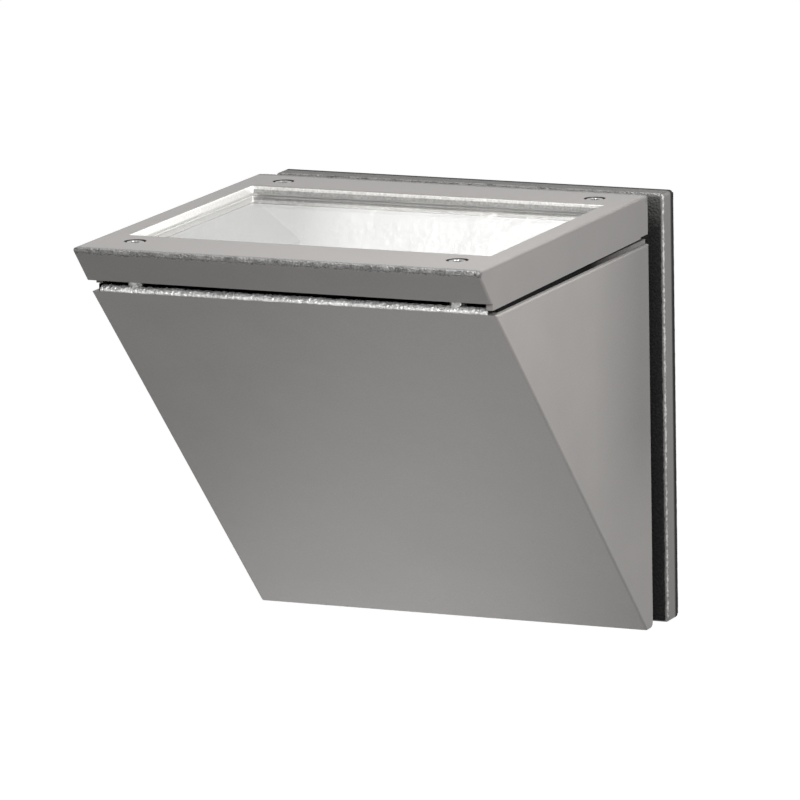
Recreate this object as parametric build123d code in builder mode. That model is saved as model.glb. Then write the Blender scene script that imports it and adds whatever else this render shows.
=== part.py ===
from build123d import *
import os
from math import cos, hypot, radians, tan

os.makedirs("parts", exist_ok=True)

# Driving dimensions in millimetres. The wall is the plane y = 0, the light stands out from it
# towards -Y, +Z is up, and the origin is the middle of the wall face.

# Wedge housing
body_width = 155.0  # housing, glass frame and wall plate share one width
housing_height = 143.0  # from the bottom edge to the deck under the glass frame
bottom_edge = 5.9  # depth of the housing along its bottom edge
front_rake = 44.3  # lean of the front face from the vertical, in degrees
housing_wall = 3.0
housing_floor = 6.0  # solid metal above the bottom edge
deck_thickness = 3.0
heel_radius = 2.2  # rounded back corner of the bottom edge
toe_radius = 1.0  # rounded front corner of the bottom edge
housing_edge_radius = 0.8  # softened edges of the casting

# Wall plate and its two foam gaskets
plate_height = 160.5
plate_thickness = 9.0
plate_web = 4.0  # front panel of the plate, over the hollow back
plate_rim = 6.0  # wall round the hollow back
plate_corner = 1.4
plate_edge_radius = 0.8  # rounded front edge
plate_pocket_corner = 3.0  # corners of the hollow back
wall_gasket_thickness = 2.0
plate_gasket_thickness = 2.0
foam_clearance = 0.4  # foam cut back from what passes through it
wall_foam_inset = 0.3  # wall gasket behind the plate's outline
shadow_gap = 13.4  # open gap between the plate's gasket and the housing's back

# Wall screws and cable entry
wall_hole_spacing_x = 70.0
wall_hole_spacing_z = 60.0
wall_hole = 5.5
wall_boss = 14.0
cable_entry = 20.0
cable_entry_z = -27.0
cable_bore = 9.0
grommet_lip = 3.0  # grommet flange past the hole's edge
grommet_flange = 1.8

# Spigot on the plate, collar on the housing, and the set screws that lock them
spigot_width = 98.0
spigot_height = 88.0
spigot_wall = 3.5
spigot_end_gap = 2.4  # from the spigot's end to the housing's back wall
collar_wall = 4.0
collar_clearance = 0.3
lock_screw = 5.0
lock_screw_spacing = 70.0
lock_boss = 10.0
lock_boss_length = 5.0
thread_clearance = 0.05  # radial room round every screw in its threaded hole

# Terminal block
pole_pitch = 10.5
block_side = 6.5  # from an outer pole to the block's end
block_height = 20.0
block_depth = 11.0
block_z = 4.0
tunnel_bore = 4.0
terminal_screw = 3.2
terminal_screw_length = 4.0
terminal_row = 12.0  # between the two rows of terminal screws
block_rib = 1.6
block_screw = 3.0
block_screw_length = 13.0
block_screw_head = 5.5
block_screw_head_height = 1.8

# Wire hole and earth connection in the housing's back wall
wire_hole = 12.0
wire_hole_z = 30.0
wire_bore = 9.0
earth_x = 20.0
earth_z = 46.0
earth_boss = 10.0
earth_boss_height = 4.0
earth_screw_size = 4.0
earth_head = 7.5
earth_head_height = 2.6
earth_tag_size = 9.0
earth_tag_thickness = 1.0
earth_barrel = 3.2
earth_barrel_length = 6.0
earth_barrel_gap = 0.3  # from the screw's head to the barrel
driver_slot = 1.0

# Glass frame
frame_rise = 2.3  # top of the frame above the plate's top edge
frame_height = 13.5  # front and back walls
skirt_drop_front = 2.4  # side walls reach this much lower at their front ends
skirt_drop_back = 1.5  # and this much lower next to the back wall
skirt_start_left = 8.0  # lower edge of the left wall starts this far behind the front corner
skirt_start_right = 1.2  # and that of the right wall
skirt_relief = 8.0  # raised stretch of the side walls next to the back
skirt_relief_rise = 0.6
frame_gap = 4.6  # open joint between the front wall and the deck
frame_wall = 2.5
frame_top = 3.0
frame_setback = 1.5  # top front edge behind the plane of the housing's front face
frame_rake = 41.5  # lean of the front wall from the vertical, in degrees
frame_edge_radius = 1.0
aperture_chamfer = 0.6
side_bar = 8.0
front_bar = 30.4  # from the sharp front edge to the aperture
back_bar = 23.6

# Frame screws, and the posts on the deck that take them
frame_screw = 4.0
frame_screw_length = 12.0
frame_screw_head = 7.0
frame_screw_head_height = 4.0
hex_key = 3.0
hex_depth = 2.0
head_clearance = 0.5
head_sink = 0.3  # screw head below the frame's top
screw_seat = 2.4  # metal under the screw head
frame_boss = 10.4
screw_hole_clearance = 0.2
screw_inset_x = 15.8
screw_inset_front = 4.0  # behind the front edge of the deck
screw_inset_back = 12.8
post_diameter = 6.0
post_gap = 0.05  # between the post and the frame's boss
post_relief = 0.6
post_bore_room = 0.6  # free thread below the screw's end

# Glass, its seal, and the lip that the seal closes on
glass_thickness = 4.0
seal_edge = 1.2
seal_face = 0.5
seal_clearance = 0.2
seal_inset = 0.5  # inner edge of the seal behind the aperture's edge
lip_inset = 0.3
lip_wall = 2.5
rail_inset = 1.0  # rails on the deck, under the frame's side walls, behind the housing's sides
rail_start = 4.4  # front ends of the rails behind the front edge of the deck
rail_gap = 0.3  # between a rail and the lowest end of the frame's side wall
seal_seat_gap = 0.3

# Reflector
sheet = 0.8
reflector_clearance = 0.3
flange_inset = 0.3
flare_depth = 13.0
flare_end_reach = 7.4  # steep ends of the reflector past the lampholders' noses
flare_back = 11.2  # how far the flared long walls come in
reflector_depth = 38.0
floor_side = 2.9  # how far the steep ends come in below the flare
floor_back = 22.5  # how far the long walls come in below the flare

# Lamp
lamp_length = 78.3
lamp_height = 16.0  # lamp axis above the reflector's floor
tube_diameter = 11.0
tube_wall = 1.0
tube_length = 48.0
tube_stub = 5.2
cap_diameter = 7.4
cap_length = 11.0
stub_in_cap = 3.6
cap_recess = 4.4
cap_recess_depth = 1.5
filament_diameter = 1.4

# Lampholders on their bracket
holder_gap = 0.3
holder_length = 19.3
nose_diameter = 13.0
nose_length = 8.0
nose_wall = 1.2
nose_clearance = 0.8
holder_block = 16.0
holder_corner = 2.0
bracket_sheet = 1.2
bracket_width = 14.0
bracket_bend = 1.6
rivet = 3.0
rivet_pitch = 10.0
rivet_depth = 3.0
rivet_head = 5.0
rivet_head_height = 1.0
bracket_screw = 3.0
bracket_screw_spacing = 50.0
bracket_screw_head = 5.6
bracket_screw_head_height = 2.0
bracket_nut = 5.5
bracket_nut_height = 2.4

# Sprung contacts
contact_diameter = 5.0
contact_length = 8.0
contact_tip = 3.6
contact_clearance = 0.05
contact_end_gap = 0.25
tip_radius = 0.8
spring_room = 5.5
spring_wire = 0.6
spring_diameter = 3.8  # middle of the wire
spring_turns = 4
spring_gap = 0.2

# Inner leads
lead_diameter = 2.2
lead_bend_share = 0.45  # of the shorter run, taken up by each bend
lead_rise = 9.0  # straight up out of the terminal block
lead_room = 3.0  # straight on each side of the wire grommet
lead_spread = 2.2  # leads from the middle of the grommet
lead_drop = 1.3
lead_bend_x = 40.0
lead_bend_y = -52.0
lead_bend_z = 42.0
lead_turn_y = -78.0
lead_end_inset = 4.0
earth_lead_lift = 2.4
earth_lead_out = 5.8
earth_lead_drop = 4.0
earth_lead_run = 6.0  # straight into the tag's barrel

# Distances from the wall
plate_back = wall_gasket_thickness
plate_front = plate_back + plate_thickness
gasket_front = plate_front + plate_gasket_thickness
housing_back = gasket_front + shadow_gap

# Heights
z_top = plate_height / 2 + frame_rise
z_deck = z_top - frame_height - frame_gap
z_bottom = z_deck - housing_height

# The sloped front
rake = tan(radians(front_rake))
slant = 1 / cos(radians(front_rake))


def front_y(z, inset=0.0):
    """Y of the sloped front at height z, moved in by inset square to the slope."""
    return -housing_back - bottom_edge - (z - z_bottom) * rake + inset * slant


def frame_front_y(z, inset=0.0):
    """Y of the frame's front wall at height z, moved in by inset square to the wall."""
    lean = radians(frame_rake)
    return front_y(z_top, frame_setback) + (z_top - z) * tan(lean) + inset / cos(lean)


# Aperture, glass, seal and lip, as half widths and as front and back edges
aperture_x = body_width / 2 - side_bar
aperture_front = front_y(z_top, frame_setback) + front_bar
aperture_back = -housing_back - back_bar
middle_y = (aperture_front + aperture_back) / 2
aperture_half = (aperture_back - aperture_front) / 2
seal_x = body_width / 2 - frame_wall - seal_clearance
seal_lap = seal_x - aperture_x
glass_lap = seal_lap - seal_edge
lip_lap = seal_lap - lip_inset
lip_inner_lap = lip_lap - lip_wall
flange_lap = lip_lap - flange_inset
reflector_lap = lip_inner_lap - reflector_clearance

# Heights from the frame's top down to the deck
z_under = z_top - frame_top
z_glass = z_under - seal_face
z_seal = z_glass - glass_thickness - seal_face
z_flange = z_seal - seal_seat_gap
z_lip = z_flange - sheet
z_frame = z_top - frame_height
z_skirt_front = z_frame - skirt_drop_front
z_skirt_back = z_frame - skirt_drop_back
z_seat = z_top - head_sink - frame_screw_head_height
z_boss = z_seat - screw_seat
z_post = z_boss - post_gap
z_screw = z_seat - frame_screw_length

# Places of the frame screws
screw_x = body_width / 2 - screw_inset_x
screw_front = front_y(z_deck) + screw_inset_front
screw_back = -housing_back - screw_inset_back
screw_places = [(x, y) for x in (-screw_x, screw_x) for y in (screw_front, screw_back)]

# Spigot, collar and set screws
spigot_depth = gasket_front + shadow_gap - spigot_end_gap - plate_front
collar_inner_x = spigot_width + 2 * collar_clearance
collar_inner_z = spigot_height + 2 * collar_clearance
collar_outer_x = collar_inner_x + 2 * collar_wall
collar_outer_z = collar_inner_z + 2 * collar_wall
lock_y = -(gasket_front + housing_back) / 2
lock_boss_end = -collar_outer_z / 2 - lock_boss_length

# Reflector and lamp
z_flare = z_flange - flare_depth
z_floor = z_flange - reflector_depth
lamp_z = z_floor + sheet + lamp_height
lamp_end = lamp_length / 2
nose_x = lamp_end + holder_gap
ear_x = nose_x + holder_length

# Contacts and springs
shoulder_x = nose_x + nose_wall + contact_clearance
contact_end = shoulder_x + contact_length
bore_end = contact_end + spring_room
tip_end = lamp_end - cap_recess_depth + contact_end_gap


def rectangle_about_aperture(lap, mode=Mode.ADD):
    """Rectangle that runs past every edge of the aperture by lap, in a plane seen from above."""
    with Locations((0, middle_y)):
        Rectangle(2 * (aperture_x + lap), 2 * (aperture_half + lap), mode=mode)


# Wall gasket: foam sheet between the plate and the wall
with BuildPart() as wall_gasket:
    with BuildSketch(Plane.XZ):
        RectangleRounded(
            body_width - 2 * wall_foam_inset,
            plate_height - 2 * wall_foam_inset,
            plate_corner - wall_foam_inset,
        )
        with GridLocations(wall_hole_spacing_x, wall_hole_spacing_z, 2, 2):
            Circle(wall_hole / 2 + foam_clearance, mode=Mode.SUBTRACT)
        with Locations((0, cable_entry_z)):
            Circle(cable_entry / 2 + grommet_lip + foam_clearance, mode=Mode.SUBTRACT)
    extrude(amount=wall_gasket_thickness)
wall_gasket.part.label = "wall_gasket"
export_step(wall_gasket.part, "parts/wall_gasket.step")

# Wall plate: cast tray, hollow at the back, with a spigot on its front
with BuildPart() as wall_plate:
    with BuildSketch(Plane.XZ.offset(plate_back)):
        RectangleRounded(body_width, plate_height, plate_corner)
    extrude(amount=plate_thickness)
    fillet(wall_plate.edges().group_by(Axis.Y)[0], plate_edge_radius)
    with BuildSketch(Plane.XZ.offset(plate_back)):
        RectangleRounded(body_width - 2 * plate_rim, plate_height - 2 * plate_rim, plate_pocket_corner)
        with GridLocations(wall_hole_spacing_x, wall_hole_spacing_z, 2, 2):
            Circle(wall_boss / 2, mode=Mode.SUBTRACT)
    extrude(amount=plate_thickness - plate_web, mode=Mode.SUBTRACT)
    with BuildSketch(Plane.XZ.offset(plate_front)):
        Rectangle(spigot_width, spigot_height)
        Rectangle(spigot_width - 2 * spigot_wall, spigot_height - 2 * spigot_wall, mode=Mode.SUBTRACT)
    extrude(amount=spigot_depth)
    with BuildSketch(Plane.XZ.offset(plate_back)):
        with GridLocations(wall_hole_spacing_x, wall_hole_spacing_z, 2, 2):
            Circle(wall_hole / 2)
        with Locations((0, cable_entry_z)):
            Circle(cable_entry / 2)
        with Locations((-pole_pitch / 2, block_z), (pole_pitch / 2, block_z)):
            Circle(block_screw / 2 + thread_clearance)
    extrude(amount=plate_thickness, mode=Mode.SUBTRACT)
wall_plate.part.label = "wall_plate"
export_step(wall_plate.part, "parts/wall_plate.step")

# Plate gasket: black foam over the plate's front, with a window for the spigot
with BuildPart() as plate_gasket:
    with BuildSketch(Plane.XZ.offset(plate_front)):
        RectangleRounded(
            body_width - 2 * plate_edge_radius,
            plate_height - 2 * plate_edge_radius,
            plate_corner - plate_edge_radius,
        )
        Rectangle(
            spigot_width + 2 * foam_clearance,
            spigot_height + 2 * foam_clearance,
            mode=Mode.SUBTRACT,
        )
    extrude(amount=plate_gasket_thickness)
plate_gasket.part.label = "plate_gasket"
export_step(plate_gasket.part, "parts/plate_gasket.step")

# Cable grommet: rubber ring snapped into the plate's cable entry
with BuildPart() as cable_grommet:
    for start, height, radius in (
        (plate_front - plate_web - grommet_flange, grommet_flange, cable_entry / 2 + grommet_lip),
        (plate_front - plate_web, plate_web, cable_entry / 2),
        (plate_front, grommet_flange, cable_entry / 2 + grommet_lip),
    ):
        with BuildSketch(Plane.XZ.offset(start)):
            with Locations((0, cable_entry_z)):
                Circle(radius)
        extrude(amount=height)
    with BuildSketch(Plane.XZ.offset(plate_front - plate_web - grommet_flange)):
        with Locations((0, cable_entry_z)):
            Circle(cable_bore / 2)
    extrude(amount=plate_web + 2 * grommet_flange, mode=Mode.SUBTRACT)
cable_grommet.part.label = "cable_grommet"
export_step(cable_grommet.part, "parts/cable_grommet.step")

# Terminal block: ceramic block with three poles, a wire tunnel through each and ribs between them
block_width = 2 * (pole_pitch + block_side)
block_front = plate_front + block_depth
pole_places = [-pole_pitch, 0.0, pole_pitch]
terminal_places = [(x, block_z + side * terminal_row / 2) for x in pole_places for side in (-1, 1)]
block_screw_places = [(-pole_pitch / 2, block_z), (pole_pitch / 2, block_z)]
with BuildPart() as terminal_block:
    with BuildSketch(Plane.XZ.offset(plate_front)):
        with Locations((0, block_z)):
            RectangleRounded(block_width, block_height, block_rib)
    extrude(amount=block_depth)
    with BuildSketch(Plane.XZ.offset(block_front)):
        with Locations(*[(x, block_z) for x in pole_places]):
            Rectangle(pole_pitch - block_rib, block_height)
    extrude(amount=-block_rib, mode=Mode.SUBTRACT)
    with BuildSketch(Plane.XY.offset(block_z - block_height / 2)):
        with Locations(*[(x, -plate_front - block_depth / 2) for x in pole_places]):
            Circle(tunnel_bore / 2)
    extrude(amount=block_height, mode=Mode.SUBTRACT)
    with BuildSketch(Plane.XZ.offset(block_front - block_rib)):
        with Locations(*terminal_places):
            Circle(terminal_screw / 2 + thread_clearance)
    extrude(amount=-terminal_screw_length, mode=Mode.SUBTRACT)
    with BuildSketch(Plane.XZ.offset(plate_front)):
        with Locations(*block_screw_places):
            Circle(block_screw / 2 + screw_hole_clearance)
    extrude(amount=block_depth, mode=Mode.SUBTRACT)
    with BuildSketch(Plane.XZ.offset(block_front)):
        with Locations(*block_screw_places):
            Circle(block_screw_head / 2 + head_clearance)
    extrude(amount=-block_screw_head_height - block_rib, mode=Mode.SUBTRACT)
terminal_block.part.label = "terminal_block"
export_step(terminal_block.part, "parts/terminal_block.step")

# Terminal screws: one slotted screw over each end of each wire tunnel
with BuildPart() as terminal_screws:
    with BuildSketch(Plane.XZ.offset(block_front - block_rib)):
        with Locations(*terminal_places):
            Circle(terminal_screw / 2)
    extrude(amount=-terminal_screw_length)
    with BuildSketch(Plane.XZ.offset(block_front - block_rib)):
        with Locations(*terminal_places):
            Rectangle(terminal_screw, driver_slot)
    extrude(amount=-driver_slot, mode=Mode.SUBTRACT)
terminal_screws.part.label = "terminal_screws"
export_step(terminal_screws.part, "parts/terminal_screws.step")

# Terminal block screws: they hold the block on the plate
block_screw_seat = block_front - block_rib - block_screw_head_height
with BuildPart() as terminal_block_screws:
    with BuildSketch(Plane.XZ.offset(block_screw_seat)):
        with Locations(*block_screw_places):
            Circle(block_screw_head / 2)
    extrude(amount=block_screw_head_height)
    with BuildSketch(Plane.XZ.offset(block_screw_seat)):
        with Locations(*block_screw_places):
            Circle(block_screw / 2)
    extrude(amount=-block_screw_length + block_screw_head_height)
    with BuildSketch(Plane.XZ.offset(block_screw_seat + block_screw_head_height)):
        with Locations(*block_screw_places):
            Rectangle(block_screw_head, driver_slot)
    extrude(amount=-driver_slot, mode=Mode.SUBTRACT)
terminal_block_screws.part.label = "terminal_block_screws"
export_step(terminal_block_screws.part, "parts/terminal_block_screws.step")

# Wedge housing: cast shell with a deck, a lip round the reflector's opening, low rails under the
# frame's side walls, four screw posts, and a collar on its back that slips over the plate's spigot
with BuildPart() as wedge_housing:
    with BuildSketch(Plane.YZ) as wedge_side:
        with BuildLine():
            Polyline(
                (-housing_back, z_deck),
                (front_y(z_deck), z_deck),
                (front_y(z_bottom), z_bottom),
                (-housing_back, z_bottom),
                close=True,
            )
        make_face()
        fillet(wedge_side.vertices().group_by(Axis.Y)[0].sort_by(Axis.X)[-1], heel_radius)
        fillet(wedge_side.vertices().group_by(Axis.Y)[0].sort_by(Axis.X)[0], toe_radius)
    extrude(amount=body_width / 2, both=True)
    side_edges = wedge_housing.faces().filter_by(Axis.X).edges()
    fillet(side_edges, housing_edge_radius)
    z_cavity = z_deck - deck_thickness
    z_inner_floor = z_bottom + housing_floor
    with BuildSketch(Plane.YZ):
        with BuildLine():
            Polyline(
                (-housing_back - housing_wall, z_cavity),
                (front_y(z_cavity, housing_wall), z_cavity),
                (front_y(z_inner_floor, housing_wall), z_inner_floor),
                (-housing_back - housing_wall, z_inner_floor),
                close=True,
            )
        make_face()
    extrude(amount=body_width / 2 - housing_wall, both=True, mode=Mode.SUBTRACT)
    with BuildSketch(Plane.XY.offset(z_deck)):
        rectangle_about_aperture(lip_lap)
    extrude(amount=z_lip - z_deck)
    with BuildSketch(Plane.XY.offset(z_lip)):
        rectangle_about_aperture(lip_inner_lap)
    extrude(amount=z_cavity - z_lip, mode=Mode.SUBTRACT)
    rail_front = front_y(z_deck) + rail_start
    rail_length = -housing_back - rail_inset - rail_front
    with BuildSketch(Plane.XY.offset(z_deck)):
        with Locations((0, rail_front)):
            Rectangle(body_width - 2 * rail_inset, rail_length, align=(Align.CENTER, Align.MIN))
            Rectangle(
                2 * (aperture_x + lip_lap), rail_length, align=(Align.CENTER, Align.MIN), mode=Mode.SUBTRACT
            )
    extrude(amount=z_skirt_front - rail_gap - z_deck)
    with BuildSketch(Plane.XY.offset(z_deck)):
        with Locations(*screw_places):
            Circle(post_diameter / 2)
    extrude(amount=z_post - z_deck)
    with BuildSketch(Plane.XY.offset(z_post)):
        with Locations(*screw_places):
            Circle(frame_screw / 2 + thread_clearance)
    extrude(amount=z_screw - post_bore_room - z_post, mode=Mode.SUBTRACT)
    with BuildSketch(Plane.XZ.offset(gasket_front)):
        Rectangle(collar_outer_x, collar_outer_z)
        Rectangle(collar_inner_x, collar_inner_z, mode=Mode.SUBTRACT)
    extrude(amount=shadow_gap)
    with BuildSketch(Plane.XY.offset(lock_boss_end)):
        with Locations((-lock_screw_spacing / 2, lock_y), (lock_screw_spacing / 2, lock_y)):
            Circle(lock_boss / 2)
    extrude(amount=lock_boss_length)
    with BuildSketch(Plane.XY.offset(lock_boss_end)):
        with Locations((-lock_screw_spacing / 2, lock_y), (lock_screw_spacing / 2, lock_y)):
            Circle(lock_screw / 2 + thread_clearance)
    extrude(amount=lock_boss_length + collar_wall, mode=Mode.SUBTRACT)
    with BuildSketch(Plane.XZ.offset(housing_back)):
        with Locations((0, wire_hole_z)):
            Circle(wire_hole / 2)
    extrude(amount=housing_wall, mode=Mode.SUBTRACT)
    with BuildSketch(Plane.XZ.offset(housing_back + housing_wall)):
        with Locations((earth_x, earth_z)):
            Circle(earth_boss / 2)
    extrude(amount=earth_boss_height)
    with BuildSketch(Plane.XZ.offset(housing_back + housing_wall + earth_boss_height)):
        with Locations((earth_x, earth_z)):
            Circle(earth_screw_size / 2 + thread_clearance)
    extrude(amount=-earth_boss_height - housing_wall / 2, mode=Mode.SUBTRACT)
wedge_housing.part.label = "wedge_housing"
export_step(wedge_housing.part, "parts/wedge_housing.step")

# Locking screws: two socket set screws, driven up through the collar against the spigot
with BuildPart() as locking_screws:
    with BuildSketch(Plane.XY.offset(lock_boss_end)):
        with Locations((-lock_screw_spacing / 2, lock_y), (lock_screw_spacing / 2, lock_y)):
            Circle(lock_screw / 2)
    extrude(amount=-spigot_height / 2 - lock_boss_end)
    with BuildSketch(Plane.XY.offset(lock_boss_end)):
        with Locations((-lock_screw_spacing / 2, lock_y), (lock_screw_spacing / 2, lock_y)):
            RegularPolygon(hex_key / 2, 6, major_radius=False)
    extrude(amount=hex_depth, mode=Mode.SUBTRACT)
locking_screws.part.label = "locking_screws"
export_step(locking_screws.part, "parts/locking_screws.step")

# Wire grommet: heat-proof ring in the wire hole of the housing's back wall
with BuildPart() as wire_grommet:
    for start, height, radius in (
        (housing_back - grommet_flange, grommet_flange, wire_hole / 2 + grommet_lip),
        (housing_back, housing_wall, wire_hole / 2),
        (housing_back + housing_wall, grommet_flange, wire_hole / 2 + grommet_lip),
    ):
        with BuildSketch(Plane.XZ.offset(start)):
            with Locations((0, wire_hole_z)):
                Circle(radius)
        extrude(amount=height)
    with BuildSketch(Plane.XZ.offset(housing_back - grommet_flange)):
        with Locations((0, wire_hole_z)):
            Circle(wire_bore / 2)
    extrude(amount=housing_wall + 2 * grommet_flange, mode=Mode.SUBTRACT)
wire_grommet.part.label = "wire_grommet"
export_step(wire_grommet.part, "parts/wire_grommet.step")

# Earth tag and its screw: a ring tag with a barrel for the lead, on the boss inside the housing
earth_seat = housing_back + housing_wall + earth_boss_height
barrel_y = -earth_seat - earth_barrel / 2
barrel_end = earth_x - earth_head / 2 - earth_barrel_gap
barrel_start = barrel_end - earth_barrel_length
with BuildPart() as earth_tag:
    with BuildSketch(Plane.XZ.offset(earth_seat)):
        with Locations((earth_x, earth_z)):
            Circle(earth_tag_size / 2)
            Circle(earth_screw_size / 2 + screw_hole_clearance, mode=Mode.SUBTRACT)
    extrude(amount=earth_tag_thickness)
    with BuildSketch(Plane.YZ.offset(barrel_start)):
        with Locations((barrel_y, earth_z)):
            Circle(earth_barrel / 2)
    extrude(amount=earth_barrel_length)
earth_tag.part.label = "earth_tag"
export_step(earth_tag.part, "parts/earth_tag.step")

earth_head_seat = earth_seat + earth_tag_thickness
with BuildPart() as earth_screw:
    with BuildSketch(Plane.XZ.offset(earth_head_seat)):
        with Locations((earth_x, earth_z)):
            Circle(earth_head / 2)
    extrude(amount=earth_head_height)
    fillet(earth_screw.edges().group_by(Axis.Y)[0], earth_head_height / 3)
    with BuildSketch(Plane.XZ.offset(earth_head_seat)):
        with Locations((earth_x, earth_z)):
            Circle(earth_screw_size / 2)
    extrude(amount=-earth_tag_thickness - earth_boss_height)
    with BuildSketch(Plane.XZ.offset(earth_head_seat + earth_head_height)):
        with Locations((earth_x, earth_z)):
            Rectangle(earth_head, driver_slot)
    extrude(amount=-earth_head_height / 2, mode=Mode.SUBTRACT)
earth_screw.part.label = "earth_screw"
export_step(earth_screw.part, "parts/earth_screw.step")

# Reflector: one blank of hammered aluminium, flared at the top, with a flange that hangs on the lip.
# Its steep ends stand just behind the noses of the lampholders.
reflector_x = aperture_x + reflector_lap
reflector_half = aperture_half + reflector_lap
steep_depth = reflector_depth - flare_depth
flare_side = reflector_x - nose_x - flare_end_reach


def level_sheet(inset, height):
    """Thickness of the sheet, measured level, in a wall that comes in by inset over height."""
    return sheet * hypot(inset, height) / height


steep_side = flare_side + level_sheet(floor_side, steep_depth)
steep_back = flare_back + level_sheet(floor_back, steep_depth)
outer_levels = (
    (z_flange, 0.0, 0.0),
    (z_flare, flare_side, flare_back),
    (z_floor, flare_side + floor_side, flare_back + floor_back),
)
inner_levels = (
    (z_flange, level_sheet(flare_side, flare_depth), level_sheet(flare_back, flare_depth)),
    (z_flare + sheet / 2, steep_side, steep_back),
    (z_floor + sheet, steep_side + floor_side, steep_back + floor_back),
)
with BuildPart() as reflector:
    for levels, mode in ((outer_levels, Mode.ADD), (inner_levels, Mode.SUBTRACT)):
        for height, inset_x, inset_y in levels:
            with BuildSketch(Plane.XY.offset(height)):
                with Locations((0, middle_y)):
                    Rectangle(2 * (reflector_x - inset_x), 2 * (reflector_half - inset_y))
        loft(ruled=True, mode=mode)
    with BuildSketch(Plane.XY.offset(z_lip)):
        rectangle_about_aperture(flange_lap)
        rectangle_about_aperture(reflector_lap - sheet, Mode.SUBTRACT)
    extrude(amount=sheet)
    with BuildSketch(Plane.YZ.offset(-body_width / 2)):
        with Locations((middle_y, lamp_z)):
            Circle(nose_diameter / 2 + nose_clearance)
    extrude(amount=body_width, mode=Mode.SUBTRACT)
    with BuildSketch(Plane.XY.offset(z_floor)):
        with Locations((-bracket_screw_spacing / 2, middle_y), (bracket_screw_spacing / 2, middle_y)):
            Circle(bracket_screw / 2 + screw_hole_clearance)
    extrude(amount=sheet, mode=Mode.SUBTRACT)
reflector.part.label = "reflector"
export_step(reflector.part, "parts/reflector.step")

# Lampholder bracket: steel strip folded into a U under the reflector, with an ear at each end
ear_top = lamp_z + holder_block / 2
bracket_low = z_floor - bracket_sheet
with BuildPart() as lampholder_bracket:
    with BuildSketch(Plane.XZ.offset(-middle_y - bracket_width / 2)) as strip:
        with Locations((0, bracket_low)):
            Rectangle(2 * (ear_x + bracket_sheet), ear_top - bracket_low, align=(Align.CENTER, Align.MIN))
        with Locations((0, z_floor)):
            Rectangle(2 * ear_x, ear_top - z_floor, align=(Align.CENTER, Align.MIN), mode=Mode.SUBTRACT)
    extrude(amount=bracket_width)
    bends = lampholder_bracket.edges().filter_by(Axis.Y)
    fillet(bends.group_by(Axis.Z)[0], bracket_bend)
    with BuildSketch(Plane.YZ.offset(-ear_x - bracket_sheet)):
        with Locations((middle_y, lamp_z - rivet_pitch / 2), (middle_y, lamp_z + rivet_pitch / 2)):
            Circle(rivet / 2)
    extrude(amount=2 * (ear_x + bracket_sheet), mode=Mode.SUBTRACT)
    with BuildSketch(Plane.XY.offset(bracket_low)):
        with Locations((-bracket_screw_spacing / 2, middle_y), (bracket_screw_spacing / 2, middle_y)):
            Circle(bracket_screw / 2 + screw_hole_clearance)
    extrude(amount=bracket_sheet, mode=Mode.SUBTRACT)
lampholder_bracket.part.label = "lampholder_bracket"
export_step(lampholder_bracket.part, "parts/lampholder_bracket.step")

# Bracket screws and nuts: they clamp the strip under the reflector's floor
z_reflector_floor = z_floor + sheet
bracket_screw_places = [(-bracket_screw_spacing / 2, middle_y), (bracket_screw_spacing / 2, middle_y)]
with BuildPart() as bracket_screws:
    with BuildSketch(Plane.XY.offset(z_reflector_floor)):
        with Locations(*bracket_screw_places):
            Circle(bracket_screw_head / 2)
    extrude(amount=bracket_screw_head_height)
    with BuildSketch(Plane.XY.offset(z_reflector_floor)):
        with Locations(*bracket_screw_places):
            Circle(bracket_screw / 2)
    extrude(amount=-sheet - bracket_sheet - bracket_nut_height)
    with BuildSketch(Plane.XY.offset(z_reflector_floor + bracket_screw_head_height)):
        with Locations(*bracket_screw_places):
            Rectangle(bracket_screw_head, driver_slot)
    extrude(amount=-driver_slot, mode=Mode.SUBTRACT)
bracket_screws.part.label = "bracket_screws"
export_step(bracket_screws.part, "parts/bracket_screws.step")

with BuildPart() as bracket_nuts:
    with BuildSketch(Plane.XY.offset(bracket_low)):
        with Locations(*bracket_screw_places):
            RegularPolygon(bracket_nut / 2, 6, major_radius=False)
            Circle(bracket_screw / 2 + thread_clearance, mode=Mode.SUBTRACT)
    extrude(amount=-bracket_nut_height)
bracket_nuts.part.label = "bracket_nuts"
export_step(bracket_nuts.part, "parts/bracket_nuts.step")

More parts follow.
